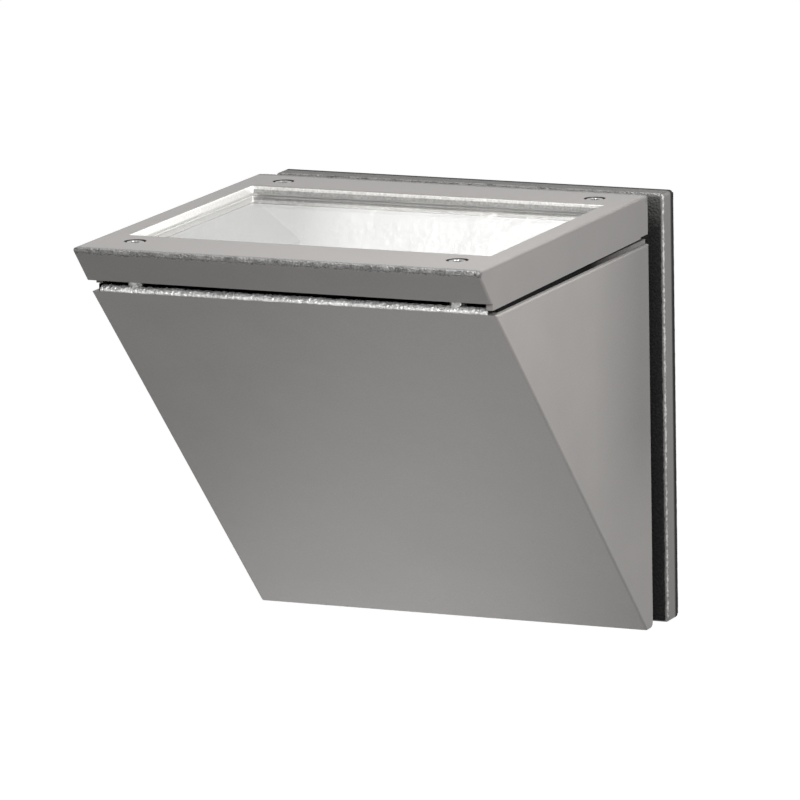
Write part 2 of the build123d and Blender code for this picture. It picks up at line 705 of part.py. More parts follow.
# Lampholders: ceramic block with a round nose through the reflector's end, bored for the contact.
# The contact is a stepped plunger in that bore, pushed at the lamp by a coil spring.
rivet_rows = [(0, -rivet_pitch / 2), (0, rivet_pitch / 2)]
coil_start = contact_end + spring_gap + spring_wire / 2
coil_pitch = (bore_end - thread_clearance - spring_wire / 2 - coil_start) / spring_turns
coil_radius = spring_diameter / 2
for side, hand in ((-1, "left"), (1, "right")):
    outward = Plane(origin=(0, middle_y, lamp_z), x_dir=(0, 1, 0), z_dir=(side, 0, 0))
    with BuildPart() as lampholder:
        with BuildSketch(outward.offset(nose_x)):
            Circle(nose_diameter / 2)
        extrude(amount=nose_length)
        with BuildSketch(outward.offset(nose_x + nose_length)):
            RectangleRounded(holder_block, holder_block, holder_corner)
        extrude(amount=holder_length - nose_length)
        with BuildSketch(outward.offset(nose_x)):
            Circle(contact_tip / 2 + contact_clearance)
        extrude(amount=nose_wall, mode=Mode.SUBTRACT)
        with BuildSketch(outward.offset(nose_x + nose_wall)):
            Circle(contact_diameter / 2 + contact_clearance)
        extrude(amount=bore_end - nose_x - nose_wall, mode=Mode.SUBTRACT)
        with BuildSketch(outward.offset(ear_x)):
            with Locations(*rivet_rows):
                Circle(rivet / 2)
        extrude(amount=-rivet_depth, mode=Mode.SUBTRACT)
    lampholder.part.label = f"lampholder_{hand}"
    export_step(lampholder.part, f"parts/lampholder_{hand}.step")

    with BuildPart() as contact:
        with BuildSketch(outward.offset(shoulder_x)):
            Circle(contact_diameter / 2)
        extrude(amount=contact_length)
        with BuildSketch(outward.offset(tip_end)):
            Circle(contact_tip / 2)
        extrude(amount=shoulder_x - tip_end)
        fillet(contact.edges().sort_by(lambda edge: abs(edge.center().X))[0], tip_radius)
    contact.part.label = f"contact_{hand}"
    export_step(contact.part, f"parts/contact_{hand}.step")

    with BuildPart() as contact_spring:
        with BuildLine(outward.offset(coil_start)) as coil:
            for half in range(2 * spring_turns):
                low = half * coil_pitch / 2
                turn = 1 if half % 2 == 0 else -1
                ThreePointArc(
                    (turn * coil_radius, 0, low),
                    (0, turn * coil_radius, low + coil_pitch / 4),
                    (-turn * coil_radius, 0, low + coil_pitch / 2),
                )
        with BuildSketch(Plane(coil.line @ 0, z_dir=coil.line % 0)):
            Circle(spring_wire / 2)
        sweep()
    contact_spring.part.label = f"contact_spring_{hand}"
    export_step(contact_spring.part, f"parts/contact_spring_{hand}.step")
print(f"contact spring: {coil_pitch - spring_wire:.2f} mm free between turns")

# Lampholder rivets: two through each ear of the bracket into the ceramic
with BuildPart() as lampholder_rivets:
    for side in (-1, 1):
        outward = Plane(origin=(0, middle_y, lamp_z), x_dir=(0, 1, 0), z_dir=(side, 0, 0))
        with BuildSketch(outward.offset(ear_x - rivet_depth)):
            with Locations(*rivet_rows):
                Circle(rivet / 2)
        extrude(amount=rivet_depth + bracket_sheet)
        with BuildSketch(outward.offset(ear_x + bracket_sheet)):
            with Locations(*rivet_rows):
                Circle(rivet_head / 2)
        extrude(amount=rivet_head_height)
lampholder_rivets.part.label = "lampholder_rivets"
export_step(lampholder_rivets.part, "parts/lampholder_rivets.step")

# Lamp: quartz tube drawn in to a stub at each end, a ceramic cap on each stub, a filament inside
lamp_axis = Axis((0, middle_y, lamp_z), (1, 0, 0))
lamp_plane = Plane(origin=(0, middle_y, lamp_z), x_dir=(1, 0, 0), z_dir=(0, -1, 0))
tube_half = tube_length / 2
cap_start = lamp_end - cap_length
stub_end = cap_start + stub_in_cap
with BuildPart() as lamp_tube:
    with BuildSketch(lamp_plane):
        with BuildLine():
            Polyline(
                (-stub_end, 0),
                (-stub_end, tube_stub / 2),
                (-cap_start, tube_stub / 2),
                (-tube_half, tube_diameter / 2),
                (tube_half, tube_diameter / 2),
                (cap_start, tube_stub / 2),
                (stub_end, tube_stub / 2),
                (stub_end, 0),
                close=True,
            )
        make_face()
    revolve(axis=lamp_axis)
    with BuildSketch(lamp_plane):
        with Locations((0, 0)):
            Rectangle(tube_length, tube_diameter / 2 - tube_wall, align=(Align.CENTER, Align.MIN))
    revolve(axis=lamp_axis, mode=Mode.SUBTRACT)
lamp_tube.part.label = "lamp_tube"
export_step(lamp_tube.part, "parts/lamp_tube.step")

with BuildPart() as lamp_caps:
    for side in (-1, 1):
        outward = Plane(origin=(0, middle_y, lamp_z), x_dir=(0, 1, 0), z_dir=(side, 0, 0))
        with BuildSketch(outward.offset(cap_start)):
            Circle(cap_diameter / 2)
        extrude(amount=cap_length)
        with BuildSketch(outward.offset(cap_start)):
            Circle(tube_stub / 2)
        extrude(amount=stub_in_cap, mode=Mode.SUBTRACT)
        with BuildSketch(outward.offset(lamp_end)):
            Circle(cap_recess / 2)
        extrude(amount=-cap_recess_depth, mode=Mode.SUBTRACT)
lamp_caps.part.label = "lamp_caps"
export_step(lamp_caps.part, "parts/lamp_caps.step")

with BuildPart() as lamp_filament:
    with BuildSketch(Plane(origin=(-tube_half, middle_y, lamp_z), x_dir=(0, 1, 0), z_dir=(1, 0, 0))):
        Circle(filament_diameter / 2)
    extrude(amount=tube_length)
lamp_filament.part.label = "lamp_filament"
export_step(lamp_filament.part, "parts/lamp_filament.step")

# Inner leads: silicone wires from the terminal block through the wire grommet, to each lampholder
# and to the earth screw. Each bend is as wide as its two runs allow.
lead_start_z = block_z + block_height / 2
lead_start_y = -plate_front - block_depth / 2
grommet_in = -housing_back + grommet_flange + lead_room
grommet_out = -housing_back - housing_wall - grommet_flange - lead_room
holder_side = middle_y + holder_block / 2
lead_end_x = ear_x - lead_end_inset


def lead_route(points):
    """Straight runs between the points, joined by tangent arcs."""
    spots = [Vector(*point) for point in points]
    runs = [after - before for before, after in zip(spots, spots[1:])]
    bends = []
    for first, second in zip(runs, runs[1:]):
        shorter = min(first.length, second.length)
        bends.append(lead_bend_share * shorter / tan(radians(first.get_angle(second)) / 2))
    return FilletPolyline(*spots, radius=bends)


def lamp_lead(side):
    """Points of the lead to the lampholder on one side."""
    return [
        (side * pole_pitch, lead_start_y, lead_start_z),
        (side * pole_pitch, lead_start_y, lead_start_z + lead_rise),
        (side * lead_spread, grommet_in, wire_hole_z - lead_drop),
        (side * lead_spread, grommet_out, wire_hole_z - lead_drop),
        (side * lead_bend_x, lead_bend_y, lead_bend_z),
        (side * lead_end_x, lead_turn_y, lamp_z),
        (side * lead_end_x, holder_side, lamp_z),
    ]


earth_lead = [
    (0, lead_start_y, lead_start_z),
    (0, lead_start_y, lead_start_z + lead_rise),
    (0, grommet_in, wire_hole_z + earth_lead_lift),
    (0, grommet_out, wire_hole_z + earth_lead_lift),
    (0, grommet_out - earth_lead_out, earth_z - earth_lead_drop),
    (barrel_start - earth_lead_run, barrel_y, earth_z),
    (barrel_start, barrel_y, earth_z),
]

for name, points in (
    ("lead_live", lamp_lead(-1)),
    ("lead_neutral", lamp_lead(1)),
    ("lead_earth", earth_lead),
):
    with BuildPart() as lead:
        with BuildLine() as route:
            lead_route(points)
        with BuildSketch(Plane(route.line @ 0, z_dir=route.line % 0)):
            Circle(lead_diameter / 2)
        sweep()
    lead.part.label = name
    export_step(lead.part, f"parts/{name}.step")

# Glass seal: silicone channel round the edge of the glass
with BuildPart() as glass_seal:
    with BuildSketch(Plane.XY.offset(z_seal)):
        rectangle_about_aperture(seal_lap)
        rectangle_about_aperture(seal_inset, Mode.SUBTRACT)
    extrude(amount=z_under - z_seal)
    with BuildSketch(Plane.XY.offset(z_glass - glass_thickness)):
        rectangle_about_aperture(glass_lap)
    extrude(amount=glass_thickness, mode=Mode.SUBTRACT)
glass_seal.part.label = "glass_seal"
export_step(glass_seal.part, "parts/glass_seal.step")

# Glass pane: flat toughened glass
with BuildPart() as glass_pane:
    with BuildSketch(Plane.XY.offset(z_glass - glass_thickness)):
        rectangle_about_aperture(glass_lap)
    extrude(amount=glass_thickness)
glass_pane.part.label = "glass_pane"
export_step(glass_pane.part, "parts/glass_pane.step")

# Glass frame: cast frame with a sloped front wall, hollow underneath, bossed for its four screws.
# Its side walls reach lower than the front wall, and lower at the front than at the back.
with BuildPart() as glass_frame:
    with BuildSketch(Plane.YZ):
        with BuildLine():
            Polyline(
                (-housing_back, z_top),
                (frame_front_y(z_top), z_top),
                (frame_front_y(z_frame), z_frame),
                (-housing_back, z_frame),
                close=True,
            )
        make_face()
    extrude(amount=body_width / 2, both=True)
    top_edges = glass_frame.faces().sort_by(Axis.Z)[-1].edges()
    corner_edges = glass_frame.edges().filter_by(Axis.X, reverse=True).filter_by(Axis.Y, reverse=True)
    fillet(top_edges + corner_edges, frame_edge_radius)
    with BuildSketch(Plane.YZ):
        with BuildLine():
            Polyline(
                (-housing_back - frame_wall, z_under),
                (frame_front_y(z_under, frame_wall), z_under),
                (frame_front_y(z_frame, frame_wall), z_frame),
                (-housing_back - frame_wall, z_frame),
                close=True,
            )
        make_face()
    extrude(amount=body_width / 2 - frame_wall, both=True, mode=Mode.SUBTRACT)
    relief_y = -housing_back - skirt_relief
    for side, skirt_start in ((-1, skirt_start_left), (1, skirt_start_right)):
        skirt_y = frame_front_y(z_frame) + skirt_start
        with BuildSketch(Plane.YZ.offset(side * body_width / 2)):
            with BuildLine():
                Polyline(
                    (-housing_back - frame_edge_radius, z_frame),
                    (skirt_y, z_frame),
                    (skirt_y, z_skirt_front),
                    (relief_y, z_skirt_back),
                    (relief_y, z_skirt_back + skirt_relief_rise),
                    (-housing_back - frame_edge_radius, z_skirt_back + skirt_relief_rise),
                    close=True,
                )
            make_face()
        extrude(amount=-side * frame_wall)
    with BuildSketch(Plane.XY.offset(z_under)):
        with Locations(*screw_places):
            Circle(frame_boss / 2)
    extrude(amount=z_boss - z_under)
    with BuildSketch(Plane.XY.offset(z_under)):
        rectangle_about_aperture(0)
    extrude(amount=frame_top, mode=Mode.SUBTRACT)
    rim_edges = glass_frame.edges().group_by(Axis.Z)[-1].filter_by(
        lambda edge: abs(edge.center().X) <= aperture_x and aperture_front <= edge.center().Y <= aperture_back
    )
    chamfer(rim_edges, aperture_chamfer)
    with BuildSketch(Plane.XY.offset(z_boss)):
        with Locations(*screw_places):
            Circle(post_diameter / 2 + post_relief)
    extrude(amount=z_frame - z_boss, mode=Mode.SUBTRACT)
    with BuildSketch(Plane.XY.offset(z_boss)):
        with Locations(*screw_places):
            Circle(frame_screw / 2 + screw_hole_clearance)
    extrude(amount=screw_seat, mode=Mode.SUBTRACT)
    with BuildSketch(Plane.XY.offset(z_seat)):
        with Locations(*screw_places):
            Circle(frame_screw_head / 2 + head_clearance)
    extrude(amount=z_top - z_seat, mode=Mode.SUBTRACT)
glass_frame.part.label = "glass_frame"
export_step(glass_frame.part, "parts/glass_frame.step")

# Frame screws: four socket-head screws that hold the frame down on the posts
with BuildPart() as frame_screws:
    with BuildSketch(Plane.XY.offset(z_screw)):
        with Locations(*screw_places):
            Circle(frame_screw / 2)
    extrude(amount=frame_screw_length)
    with BuildSketch(Plane.XY.offset(z_seat)):
        with Locations(*screw_places):
            Circle(frame_screw_head / 2)
    extrude(amount=frame_screw_head_height)
    with BuildSketch(Plane.XY.offset(z_seat + frame_screw_head_height)):
        with Locations(*screw_places):
            RegularPolygon(hex_key / 2, 6, major_radius=False)
    extrude(amount=-hex_depth, mode=Mode.SUBTRACT)
frame_screws.part.label = "frame_screws"
export_step(frame_screws.part, "parts/frame_screws.step")
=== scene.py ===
import math

import bmesh
import bpy
import numpy as np
from mathutils import Matrix, Vector, noise


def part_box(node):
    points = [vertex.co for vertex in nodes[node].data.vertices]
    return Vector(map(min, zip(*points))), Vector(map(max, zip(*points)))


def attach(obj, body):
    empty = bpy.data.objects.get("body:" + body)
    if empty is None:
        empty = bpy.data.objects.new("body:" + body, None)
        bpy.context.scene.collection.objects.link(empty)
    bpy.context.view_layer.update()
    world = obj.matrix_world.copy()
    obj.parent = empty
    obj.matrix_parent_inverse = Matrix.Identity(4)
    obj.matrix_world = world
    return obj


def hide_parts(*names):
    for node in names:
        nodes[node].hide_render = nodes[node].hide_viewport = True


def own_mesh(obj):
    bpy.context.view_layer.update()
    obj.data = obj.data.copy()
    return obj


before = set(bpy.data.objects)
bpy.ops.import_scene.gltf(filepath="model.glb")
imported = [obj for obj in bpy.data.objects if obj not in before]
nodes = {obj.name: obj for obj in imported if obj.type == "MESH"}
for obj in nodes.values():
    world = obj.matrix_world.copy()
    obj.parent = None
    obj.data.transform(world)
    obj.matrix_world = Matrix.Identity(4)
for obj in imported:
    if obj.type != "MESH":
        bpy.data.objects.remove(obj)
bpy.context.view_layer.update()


# Wall gasket. A die-cut sheet of black closed-cell foam, glued to the back of the wall plate.
# Its edge shows as a thin dark line, and its skin is pitted by the cut cells.
def add(tree, kind, inputs=None, **settings):
    """New node with its settings, and with each input either linked or set."""
    node = tree.nodes.new(kind)
    for key, value in settings.items():
        setattr(node, key, value)
    for key, value in (inputs or {}).items():
        if isinstance(value, bpy.types.NodeSocket):
            tree.links.new(value, node.inputs[key])
        else:
            node.inputs[key].default_value = value
    return node


def calc(tree, operation, *values):
    """Number worked out from other numbers."""
    return add(tree, "ShaderNodeMath", dict(enumerate(values)), operation=operation).outputs[0]


def mix_colours(tree, share, first, second):
    """Colour at a share of the way from one colour to another."""
    return add(tree, "ShaderNodeMix", {0: share, 6: first, 7: second}, data_type="RGBA").outputs[2]


def fresh_material(name):
    """Material that holds only its shader and its output."""
    material = bpy.data.materials.new(name)
    material.use_nodes = True
    tree = material.node_tree
    tree.nodes.clear()
    shader = add(tree, "ShaderNodeBsdfPrincipled")
    add(tree, "ShaderNodeOutputMaterial", {"Surface": shader.outputs["BSDF"]})
    return material, tree, shader.inputs


def shader_group(name, inputs, outputs):
    """Shader node group with named number inputs and outputs, and its two end nodes."""
    group = bpy.data.node_groups.new(name, "ShaderNodeTree")
    for label, value in inputs:
        socket = group.interface.new_socket(name=label, in_out="INPUT", socket_type="NodeSocketFloat")
        socket.default_value = value
    for label in outputs:
        group.interface.new_socket(name=label, in_out="OUTPUT", socket_type="NodeSocketFloat")
    return group, group.nodes.new("NodeGroupInput"), group.nodes.new("NodeGroupOutput")


def cell_texture():
    """Group of round cells: how far a point is from its cell's middle, and a level for each cell."""
    group, start, end = shader_group("cells", [("Cell size", 0.001)], ["Bowl", "Level"])
    place = add(group, "ShaderNodeTexCoord").outputs["Object"]
    density = calc(group, "DIVIDE", 1.0, start.outputs["Cell size"])
    spots = add(group, "ShaderNodeTexVoronoi", {"Vector": place, "Scale": density})
    level = add(group, "ShaderNodeSeparateColor", {"Color": spots.outputs["Color"]})
    group.links.new(spots.outputs["Distance"], end.inputs["Bowl"])
    group.links.new(level.outputs["Red"], end.inputs["Level"])
    return group


cells = cell_texture()


def foam_material(name, dark, light, cell_size, pit_depth):
    """Matt foam, darker in its pits."""
    material, tree, shader = fresh_material(name)
    bowl = add(tree, "ShaderNodeGroup", {"Cell size": cell_size}, node_tree=cells).outputs["Bowl"]
    relief = add(tree, "ShaderNodeBump", {"Height": bowl, "Distance": pit_depth})
    tree.links.new(mix_colours(tree, bowl, (*dark, 1), (*light, 1)), shader["Base Color"])
    tree.links.new(relief.outputs["Normal"], shader["Normal"])
    shader["Roughness"].default_value = 0.95
    shader["Specular IOR Level"].default_value = 0.1
    shader["Sheen Weight"].default_value = 0.04
    shader["Sheen Roughness"].default_value = 0.6
    return material


def mesh_from(name, shape):
    """Mesh of an edited shape, which then goes."""
    mesh = bpy.data.meshes.new(name)
    shape.to_mesh(mesh)
    shape.free()
    return mesh


def merged_copy(node):
    """Mesh of a CAD node with its loose triangles joined."""
    shape = bmesh.new()
    shape.from_mesh(nodes[node].data)
    bmesh.ops.remove_doubles(shape, verts=shape.verts, dist=1e-6)
    return mesh_from(node + "_joined", shape)


def evaluated_mesh(carrier):
    """Plain mesh of an object with its modifiers done, which then goes."""
    depsgraph = bpy.context.evaluated_depsgraph_get()
    mesh = bpy.data.meshes.new_from_object(carrier.evaluated_get(depsgraph), depsgraph=depsgraph)
    bpy.data.objects.remove(carrier)
    return mesh


def linked_object(name, mesh):
    """Object of a mesh, set in the scene."""
    piece = bpy.data.objects.new(name, mesh)
    bpy.context.scene.collection.objects.link(piece)
    return piece


def smooth_faces(mesh, sharp_degrees=None):
    """Shades a mesh smooth, apart from edges that turn by more than an angle."""
    mesh.polygons.foreach_set("use_smooth", [True] * len(mesh.polygons))
    if sharp_degrees:
        mesh.set_sharp_from_angle(angle=math.radians(sharp_degrees))


def kept_between(low, high, point):
    """The point, moved into the box between two corners."""
    return Vector(max(a, min(b, c)) for a, b, c in zip(low, high, point))


def foam_sheet(name, node, voxel, pore, depth, material):
    """Foam piece in the place of a flat CAD node, with pores sunk into its skin."""
    carrier = linked_object(name + "_blank", merged_copy(node))
    remesh = carrier.modifiers.new("cells", "REMESH")
    remesh.mode = "VOXEL"
    remesh.voxel_size = voxel
    mesh = evaluated_mesh(carrier)
    low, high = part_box(node)
    for vertex, normal in zip(mesh.vertices, [Vector(n.vector) for n in mesh.vertex_normals]):
        swell = noise.noise(vertex.co / pore)
        fine = noise.noise(vertex.co / (0.4 * pore) + Vector((7, 3, 5)))
        vertex.co -= normal * depth * (0.5 + 0.6 * swell + 0.4 * fine)
        vertex.co = kept_between(low, high, vertex.co)
    smooth_faces(mesh)
    mesh.materials.clear()
    mesh.materials.append(material)
    piece = linked_object(name, mesh)
    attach(piece, "housing")
    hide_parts(node)


gasket_foam = foam_material(
    "gasket_foam", (0.008, 0.008, 0.008), (0.02, 0.02, 0.02), cell_size=0.0006, pit_depth=0.0002
)
foam_sheet(
    "wall_gasket_foam", "wall_gasket", voxel=0.0010, pore=0.0022, depth=0.00012, material=gasket_foam
)


# Wall plate. A die-cast aluminium tray, hollow at the back, with a spigot that the housing slips
# over. Its silver paint is painted darker on top as shade, with a painted highlight along its front
# side edges, and it is rough as cast along the top front edge. Painted shade darkens the seam at its back.
def mix_values(tree, share, first, second):
    """Number at a share of the way from one number to another."""
    return add(tree, "ShaderNodeMix", {0: share, 2: first, 3: second}, data_type="FLOAT").outputs[0]


def ramp(tree, value, start=0.0, end=1.0, low=0.0, high=1.0):
    """Number that goes from low to high while a value goes from start to end."""
    ends = {"From Min": start, "From Max": end, "To Min": low, "To Max": high}
    return add(tree, "ShaderNodeMapRange", {"Value": value, **ends}).outputs["Result"]


def grain_texture():
    """Group of fine grain over broad patches, both from 0 to 1, and sparse bright flakes."""
    group, start, end = shader_group(
        "grain", [("Grain size", 0.0005), ("Patch size", 0.03)], ["Grain", "Patches", "Flakes"]
    )
    place = add(group, "ShaderNodeTexCoord").outputs["Object"]
    made = {}
    for label, size, detail in (("Grain", "Grain size", 2.0), ("Patches", "Patch size", 3.0)):
        density = calc(group, "DIVIDE", 1.0, start.outputs[size])
        field = add(group, "ShaderNodeTexNoise", {"Vector": place, "Scale": density, "Detail": detail})
        made[label] = ramp(group, field.outputs["Fac"], start=0.3, end=0.7)
        group.links.new(made[label], end.inputs[label])
    flakes = ramp(group, made["Grain"], start=0.72, end=0.95)
    group.links.new(flakes, end.inputs["Flakes"])
    return group


grain = grain_texture()


def textured(name, dark, light, grain_size, patch_size, relief, roughness, metallic=0.0):
    """Material between two tones and two roughnesses, which follow its grain and its patches."""
    material, tree, shader = fresh_material(name)
    scale = {"Grain size": grain_size, "Patch size": patch_size}
    surface = add(tree, "ShaderNodeGroup", scale, node_tree=grain)
    fleck = surface.outputs["Grain"]
    share = mix_values(tree, 0.5, fleck, surface.outputs["Patches"])
    bump = add(tree, "ShaderNodeBump", {"Height": fleck, "Distance": relief})
    tree.links.new(mix_colours(tree, share, (*dark, 1), (*light, 1)), shader["Base Color"])
    tree.links.new(ramp(tree, share, low=roughness[0], high=roughness[1]), shader["Roughness"])
    tree.links.new(bump.outputs["Normal"], shader["Normal"])
    shader["Metallic"].default_value = metallic
    return material


def shader_inputs(material):
    """Inputs of a material's shader."""
    return material.node_tree.nodes["Principled BSDF"].inputs


def dress(material, *names):
    """Gives CAD nodes a material."""
    for name in names:
        nodes[name].data.materials.clear()
        nodes[name].data.materials.append(material)


def silver_paint(name, tone):
    """Fine metallic paint of a given lightness, a little warm."""
    warm = Vector((1.03, 0.976, 0.94)) * tone
    material = textured(
        name, 0.89 * warm, 1.11 * warm, grain_size=0.0006, patch_size=0.03, relief=0.000012,
        roughness=(0.36, 0.46), metallic=0.1
    )
    shader_inputs(material)["Specular IOR Level"].default_value = 0.3
    return material


def region(tree, blur, ragged, mirrored=False, **limits):
    """Mask that is 1 in a block of the part's space, given as y=(low, high), with a ragged edge.
    A mirrored block stands on both sides, with its x measured from the middle."""
    place = add(tree, "ShaderNodeTexCoord").outputs["Object"]
    drift = add(tree, "ShaderNodeTexNoise", {"Vector": place, "Scale": 900.0, "Detail": 2.0})
    half = (0.5, 0.5, 0.5)
    middle = add(tree, "ShaderNodeVectorMath", {0: drift.outputs["Color"], 1: half}, operation="SUBTRACT")
    shift = add(tree, "ShaderNodeVectorMath", {0: middle.outputs[0], "Scale": ragged}, operation="SCALE")
    moved = add(tree, "ShaderNodeVectorMath", {0: place, 1: shift.outputs[0]}, operation="ADD")
    split = add(tree, "ShaderNodeSeparateXYZ", {0: moved.outputs[0]})
    axes = {"x": split.outputs["X"], "y": split.outputs["Y"], "z": split.outputs["Z"]}
    if mirrored:
        axes["x"] = calc(tree, "ABSOLUTE", axes["x"])
    mask = None
    for axis, (low, high) in limits.items():
        steps = []
        if low is not None:
            steps.append(ramp(tree, axes[axis], start=low - blur, end=low))
        if high is not None:
            steps.append(ramp(tree, axes[axis], start=high, end=high + blur, low=1.0, high=0.0))
        for step in steps:
            mask = calc(tree, "MULTIPLY", mask, step) if mask else step
    return mask


def overlay(material, mask, dark, light, grain_size, relief, roughness, metallic, gloss=0.3):
    """Lays another finish over a material where a mask is 1."""
    tree, shader = material.node_tree, shader_inputs(material)
    fleck = add(tree, "ShaderNodeGroup", {"Grain size": grain_size}, node_tree=grain).outputs["Grain"]
    below = {label: shader[label].links[0].from_socket for label in ("Base Color", "Roughness", "Normal")}
    for label, value in (("Metallic", metallic), ("Specular IOR Level", gloss)):
        level = shader[label]
        under = level.links[0].from_socket if level.links else level.default_value
        tree.links.new(mix_values(tree, mask, under, value), level)
    tone = mix_colours(tree, fleck, (*dark, 1), (*light, 1))
    raised = calc(tree, "MULTIPLY", fleck, mask)
    bump = add(tree, "ShaderNodeBump", {"Height": raised, "Distance": relief, "Normal": below["Normal"]})
    tree.links.new(mix_colours(tree, mask, below["Base Color"], tone), shader["Base Color"])
    tree.links.new(mix_values(tree, mask, below["Roughness"], roughness), shader["Roughness"])
    tree.links.new(bump.outputs["Normal"], shader["Normal"])


def refinish(material, finish, blur, ragged, mirrored=False, **limits):
    """Lays a finish over a block of the part's space, bounded as a region is."""
    overlay(material, region(material.node_tree, blur, ragged, mirrored, **limits), **finish)


def lumps(point, size):
    """Lump height from 0 to 1 at a point, for lumps of about a given size."""
    swell = noise.noise(point / size)
    fine = noise.noise(point / (0.45 * size) + Vector((3, 1, 4)))
    return min(1.0, max(0.0, 0.45 + 0.7 * swell + 0.5 * fine))


def rough_skin(name, rows, lift, size, sunk, low, high):
    """Closed lumpy skin over rows of (point, outward) pairs. Lumps rise by up to lift, less along the
    edges, stay between the corners low and high, and the back of the skin is sunk below the rows."""
    across, along = len(rows), len(rows[0])
    shape = bmesh.new()
    front, back = [], []
    for i, row in enumerate(rows):
        front.append([])
        back.append([])
        for j, (point, outward) in enumerate(row):
            edge = min(i, across - 1 - i, j, along - 1 - j)
            rise = lift * lumps(point, size) * min(1.0, edge / 2)
            front[-1].append(shape.verts.new(kept_between(low, high, point + outward * rise)))
            back[-1].append(shape.verts.new(point - outward * sunk))
    for layer, turned in ((front, False), (back, True)):
        for i in range(across - 1):
            for j in range(along - 1):
                corners = [layer[i][j], layer[i][j + 1], layer[i + 1][j + 1], layer[i + 1][j]]
                shape.faces.new(reversed(corners) if turned else corners)
    rim = [(0, j) for j in range(along)] + [(i, along - 1) for i in range(1, across)]
    rim += [(across - 1, j) for j in range(along - 2, -1, -1)] + [(i, 0) for i in range(across - 2, 0, -1)]
    for (i, j), (k, m) in zip(rim, rim[1:] + rim[:1]):
        shape.faces.new((front[k][m], front[i][j], back[i][j], back[k][m]))
    bmesh.ops.recalc_face_normals(shape, faces=shape.faces)
    mesh = mesh_from(name, shape)
    smooth_faces(mesh, sharp_degrees=50)
    return mesh


def rough_strip(name, body, material, rows, **form):
    """Rough skin over rows of (point, outward) pairs, which stays on a body."""
    strip = linked_object(name, rough_skin(name, rows, **form))
    strip.data.materials.append(material)
    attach(strip, body)


def along_x(point, outward, half_x, step):
    """Row of (point, outward) pairs from side to side, about a step apart."""
    columns = int(2 * half_x / step)
    return [(point + Vector((half_x * (2 * k / columns - 1), 0, 0)), outward) for k in range(columns + 1)]


def edge_rows(middle_y, middle_z, radius, turn, half_x, step, count):
    """Rows of (point, outward) pairs over a rounded edge along X, turned down from the top by degrees."""
    rows = []
    for row in range(count + 1):
        angle = math.radians(90 + turn * row / count)
        outward = Vector((0, math.cos(angle), math.sin(angle)))
        point = Vector((0, middle_y, middle_z)) + radius * outward
        rows.append(along_x(point, outward, half_x, step))
    return rows


plate_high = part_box("wall_plate")[1]
plate_front = -0.011
plate_edge = 0.0008
plate_seam = -0.0036
top_depth = 0.0002
highlight_width = 0.0006
highlight_depth = 0.0003
# Painted shade: the plate's top face is painted darker, where less light falls on it.
top_painted_shade = dict(
    dark=(0.06, 0.059, 0.057), light=(0.115, 0.113, 0.108), grain_size=0.0007, relief=0.00003,
    roughness=0.6, metallic=0.1
)
# Painted highlight: a light line along the front edges of both sides, where they catch the light.
edge_painted_highlight = dict(
    dark=(0.14, 0.138, 0.135), light=(0.46, 0.455, 0.45), grain_size=0.0014, relief=0.00005,
    roughness=0.4, metallic=0.3
)
# Painted shade: the back seam next to the wall is painted near black.
seam_painted_shade = dict(
    dark=(0.012, 0.012, 0.012), light=(0.03, 0.03, 0.03), grain_size=0.0008, relief=0.00005,
    roughness=0.8, metallic=0.0, gloss=0.1
)
plate_paint = silver_paint("plate_paint", tone=0.15)
# Painted shade on the top face.
refinish(plate_paint, top_painted_shade, blur=0.0003, ragged=0.0004, z=(plate_high.z - top_depth, None))
# Painted highlight along the front edges of both sides.
refinish(
    plate_paint, edge_painted_highlight, blur=0.0002, ragged=0.0014, mirrored=True,
    x=(plate_high.x - highlight_width, None), y=(None, plate_front + highlight_depth)
)
# Painted shade along the back seam.
refinish(plate_paint, seam_painted_shade, blur=0.0012, ragged=0.0004, y=(plate_seam, None))
dress(plate_paint, "wall_plate")

rough_paint = textured(
    "rough_paint", (0.018, 0.018, 0.017), (0.27, 0.267, 0.26), grain_size=0.0006, patch_size=0.004,
    relief=0.0002, roughness=(0.3, 0.5), metallic=0.3
)
top_edge_rows = edge_rows(
    plate_front + plate_edge, plate_high.z - plate_edge, plate_edge, turn=90,
    half_x=plate_high.x - 2 * plate_edge, step=0.0003, count=8
)
rough_strip(
    "plate_top_edge", "housing", rough_paint, top_edge_rows, lift=0.0003, size=0.0008, sunk=0.0002,
    low=Vector((-plate_high.x, plate_front, 0)), high=Vector((plate_high.x, 0, plate_high.z))
)


# Plate gasket. Black open-cell foam over the whole front of the plate, cut out for the spigot.
# It is the dark band in the gap between the plate and the housing, and its top is painted paler as light
# falling on it.
# Painted light: a paler tone mixed into the top of the foam, where light falls on it.
lit_top_tone = (0.05, 0.05, 0.047, 1)
lit_top_depth = 0.001
band_foam = foam_material(
    "band_foam", (0.004, 0.004, 0.004), (0.012, 0.0118, 0.0115), cell_size=0.0009, pit_depth=0.0005
)
band_tree = band_foam.node_tree
band_tone = shader_inputs(band_foam)["Base Color"]
# Painted light on the foam's top.
lit_top_mask = region(band_tree, blur=0.012, ragged=0.006, z=(plate_high.z - lit_top_depth, None))
band_tree.links.new(mix_colours(band_tree, lit_top_mask, band_tone.links[0].from_socket, lit_top_tone), band_tone)
foam_sheet(
    "plate_gasket_foam", "plate_gasket", voxel=0.0009, pore=0.0018, depth=0.00035, material=band_foam
)


# Cable grommet. A black rubber ring, snapped into the cable entry of the wall plate.
# Its rubber is slightly bloomed and matt.
black_rubber = textured(
    "black_rubber", (0.012, 0.012, 0.012), (0.03, 0.03, 0.031), grain_size=0.0012, patch_size=0.008,
    relief=0.00002, roughness=(0.55, 0.75)
)
dress(black_rubber, "cable_grommet")


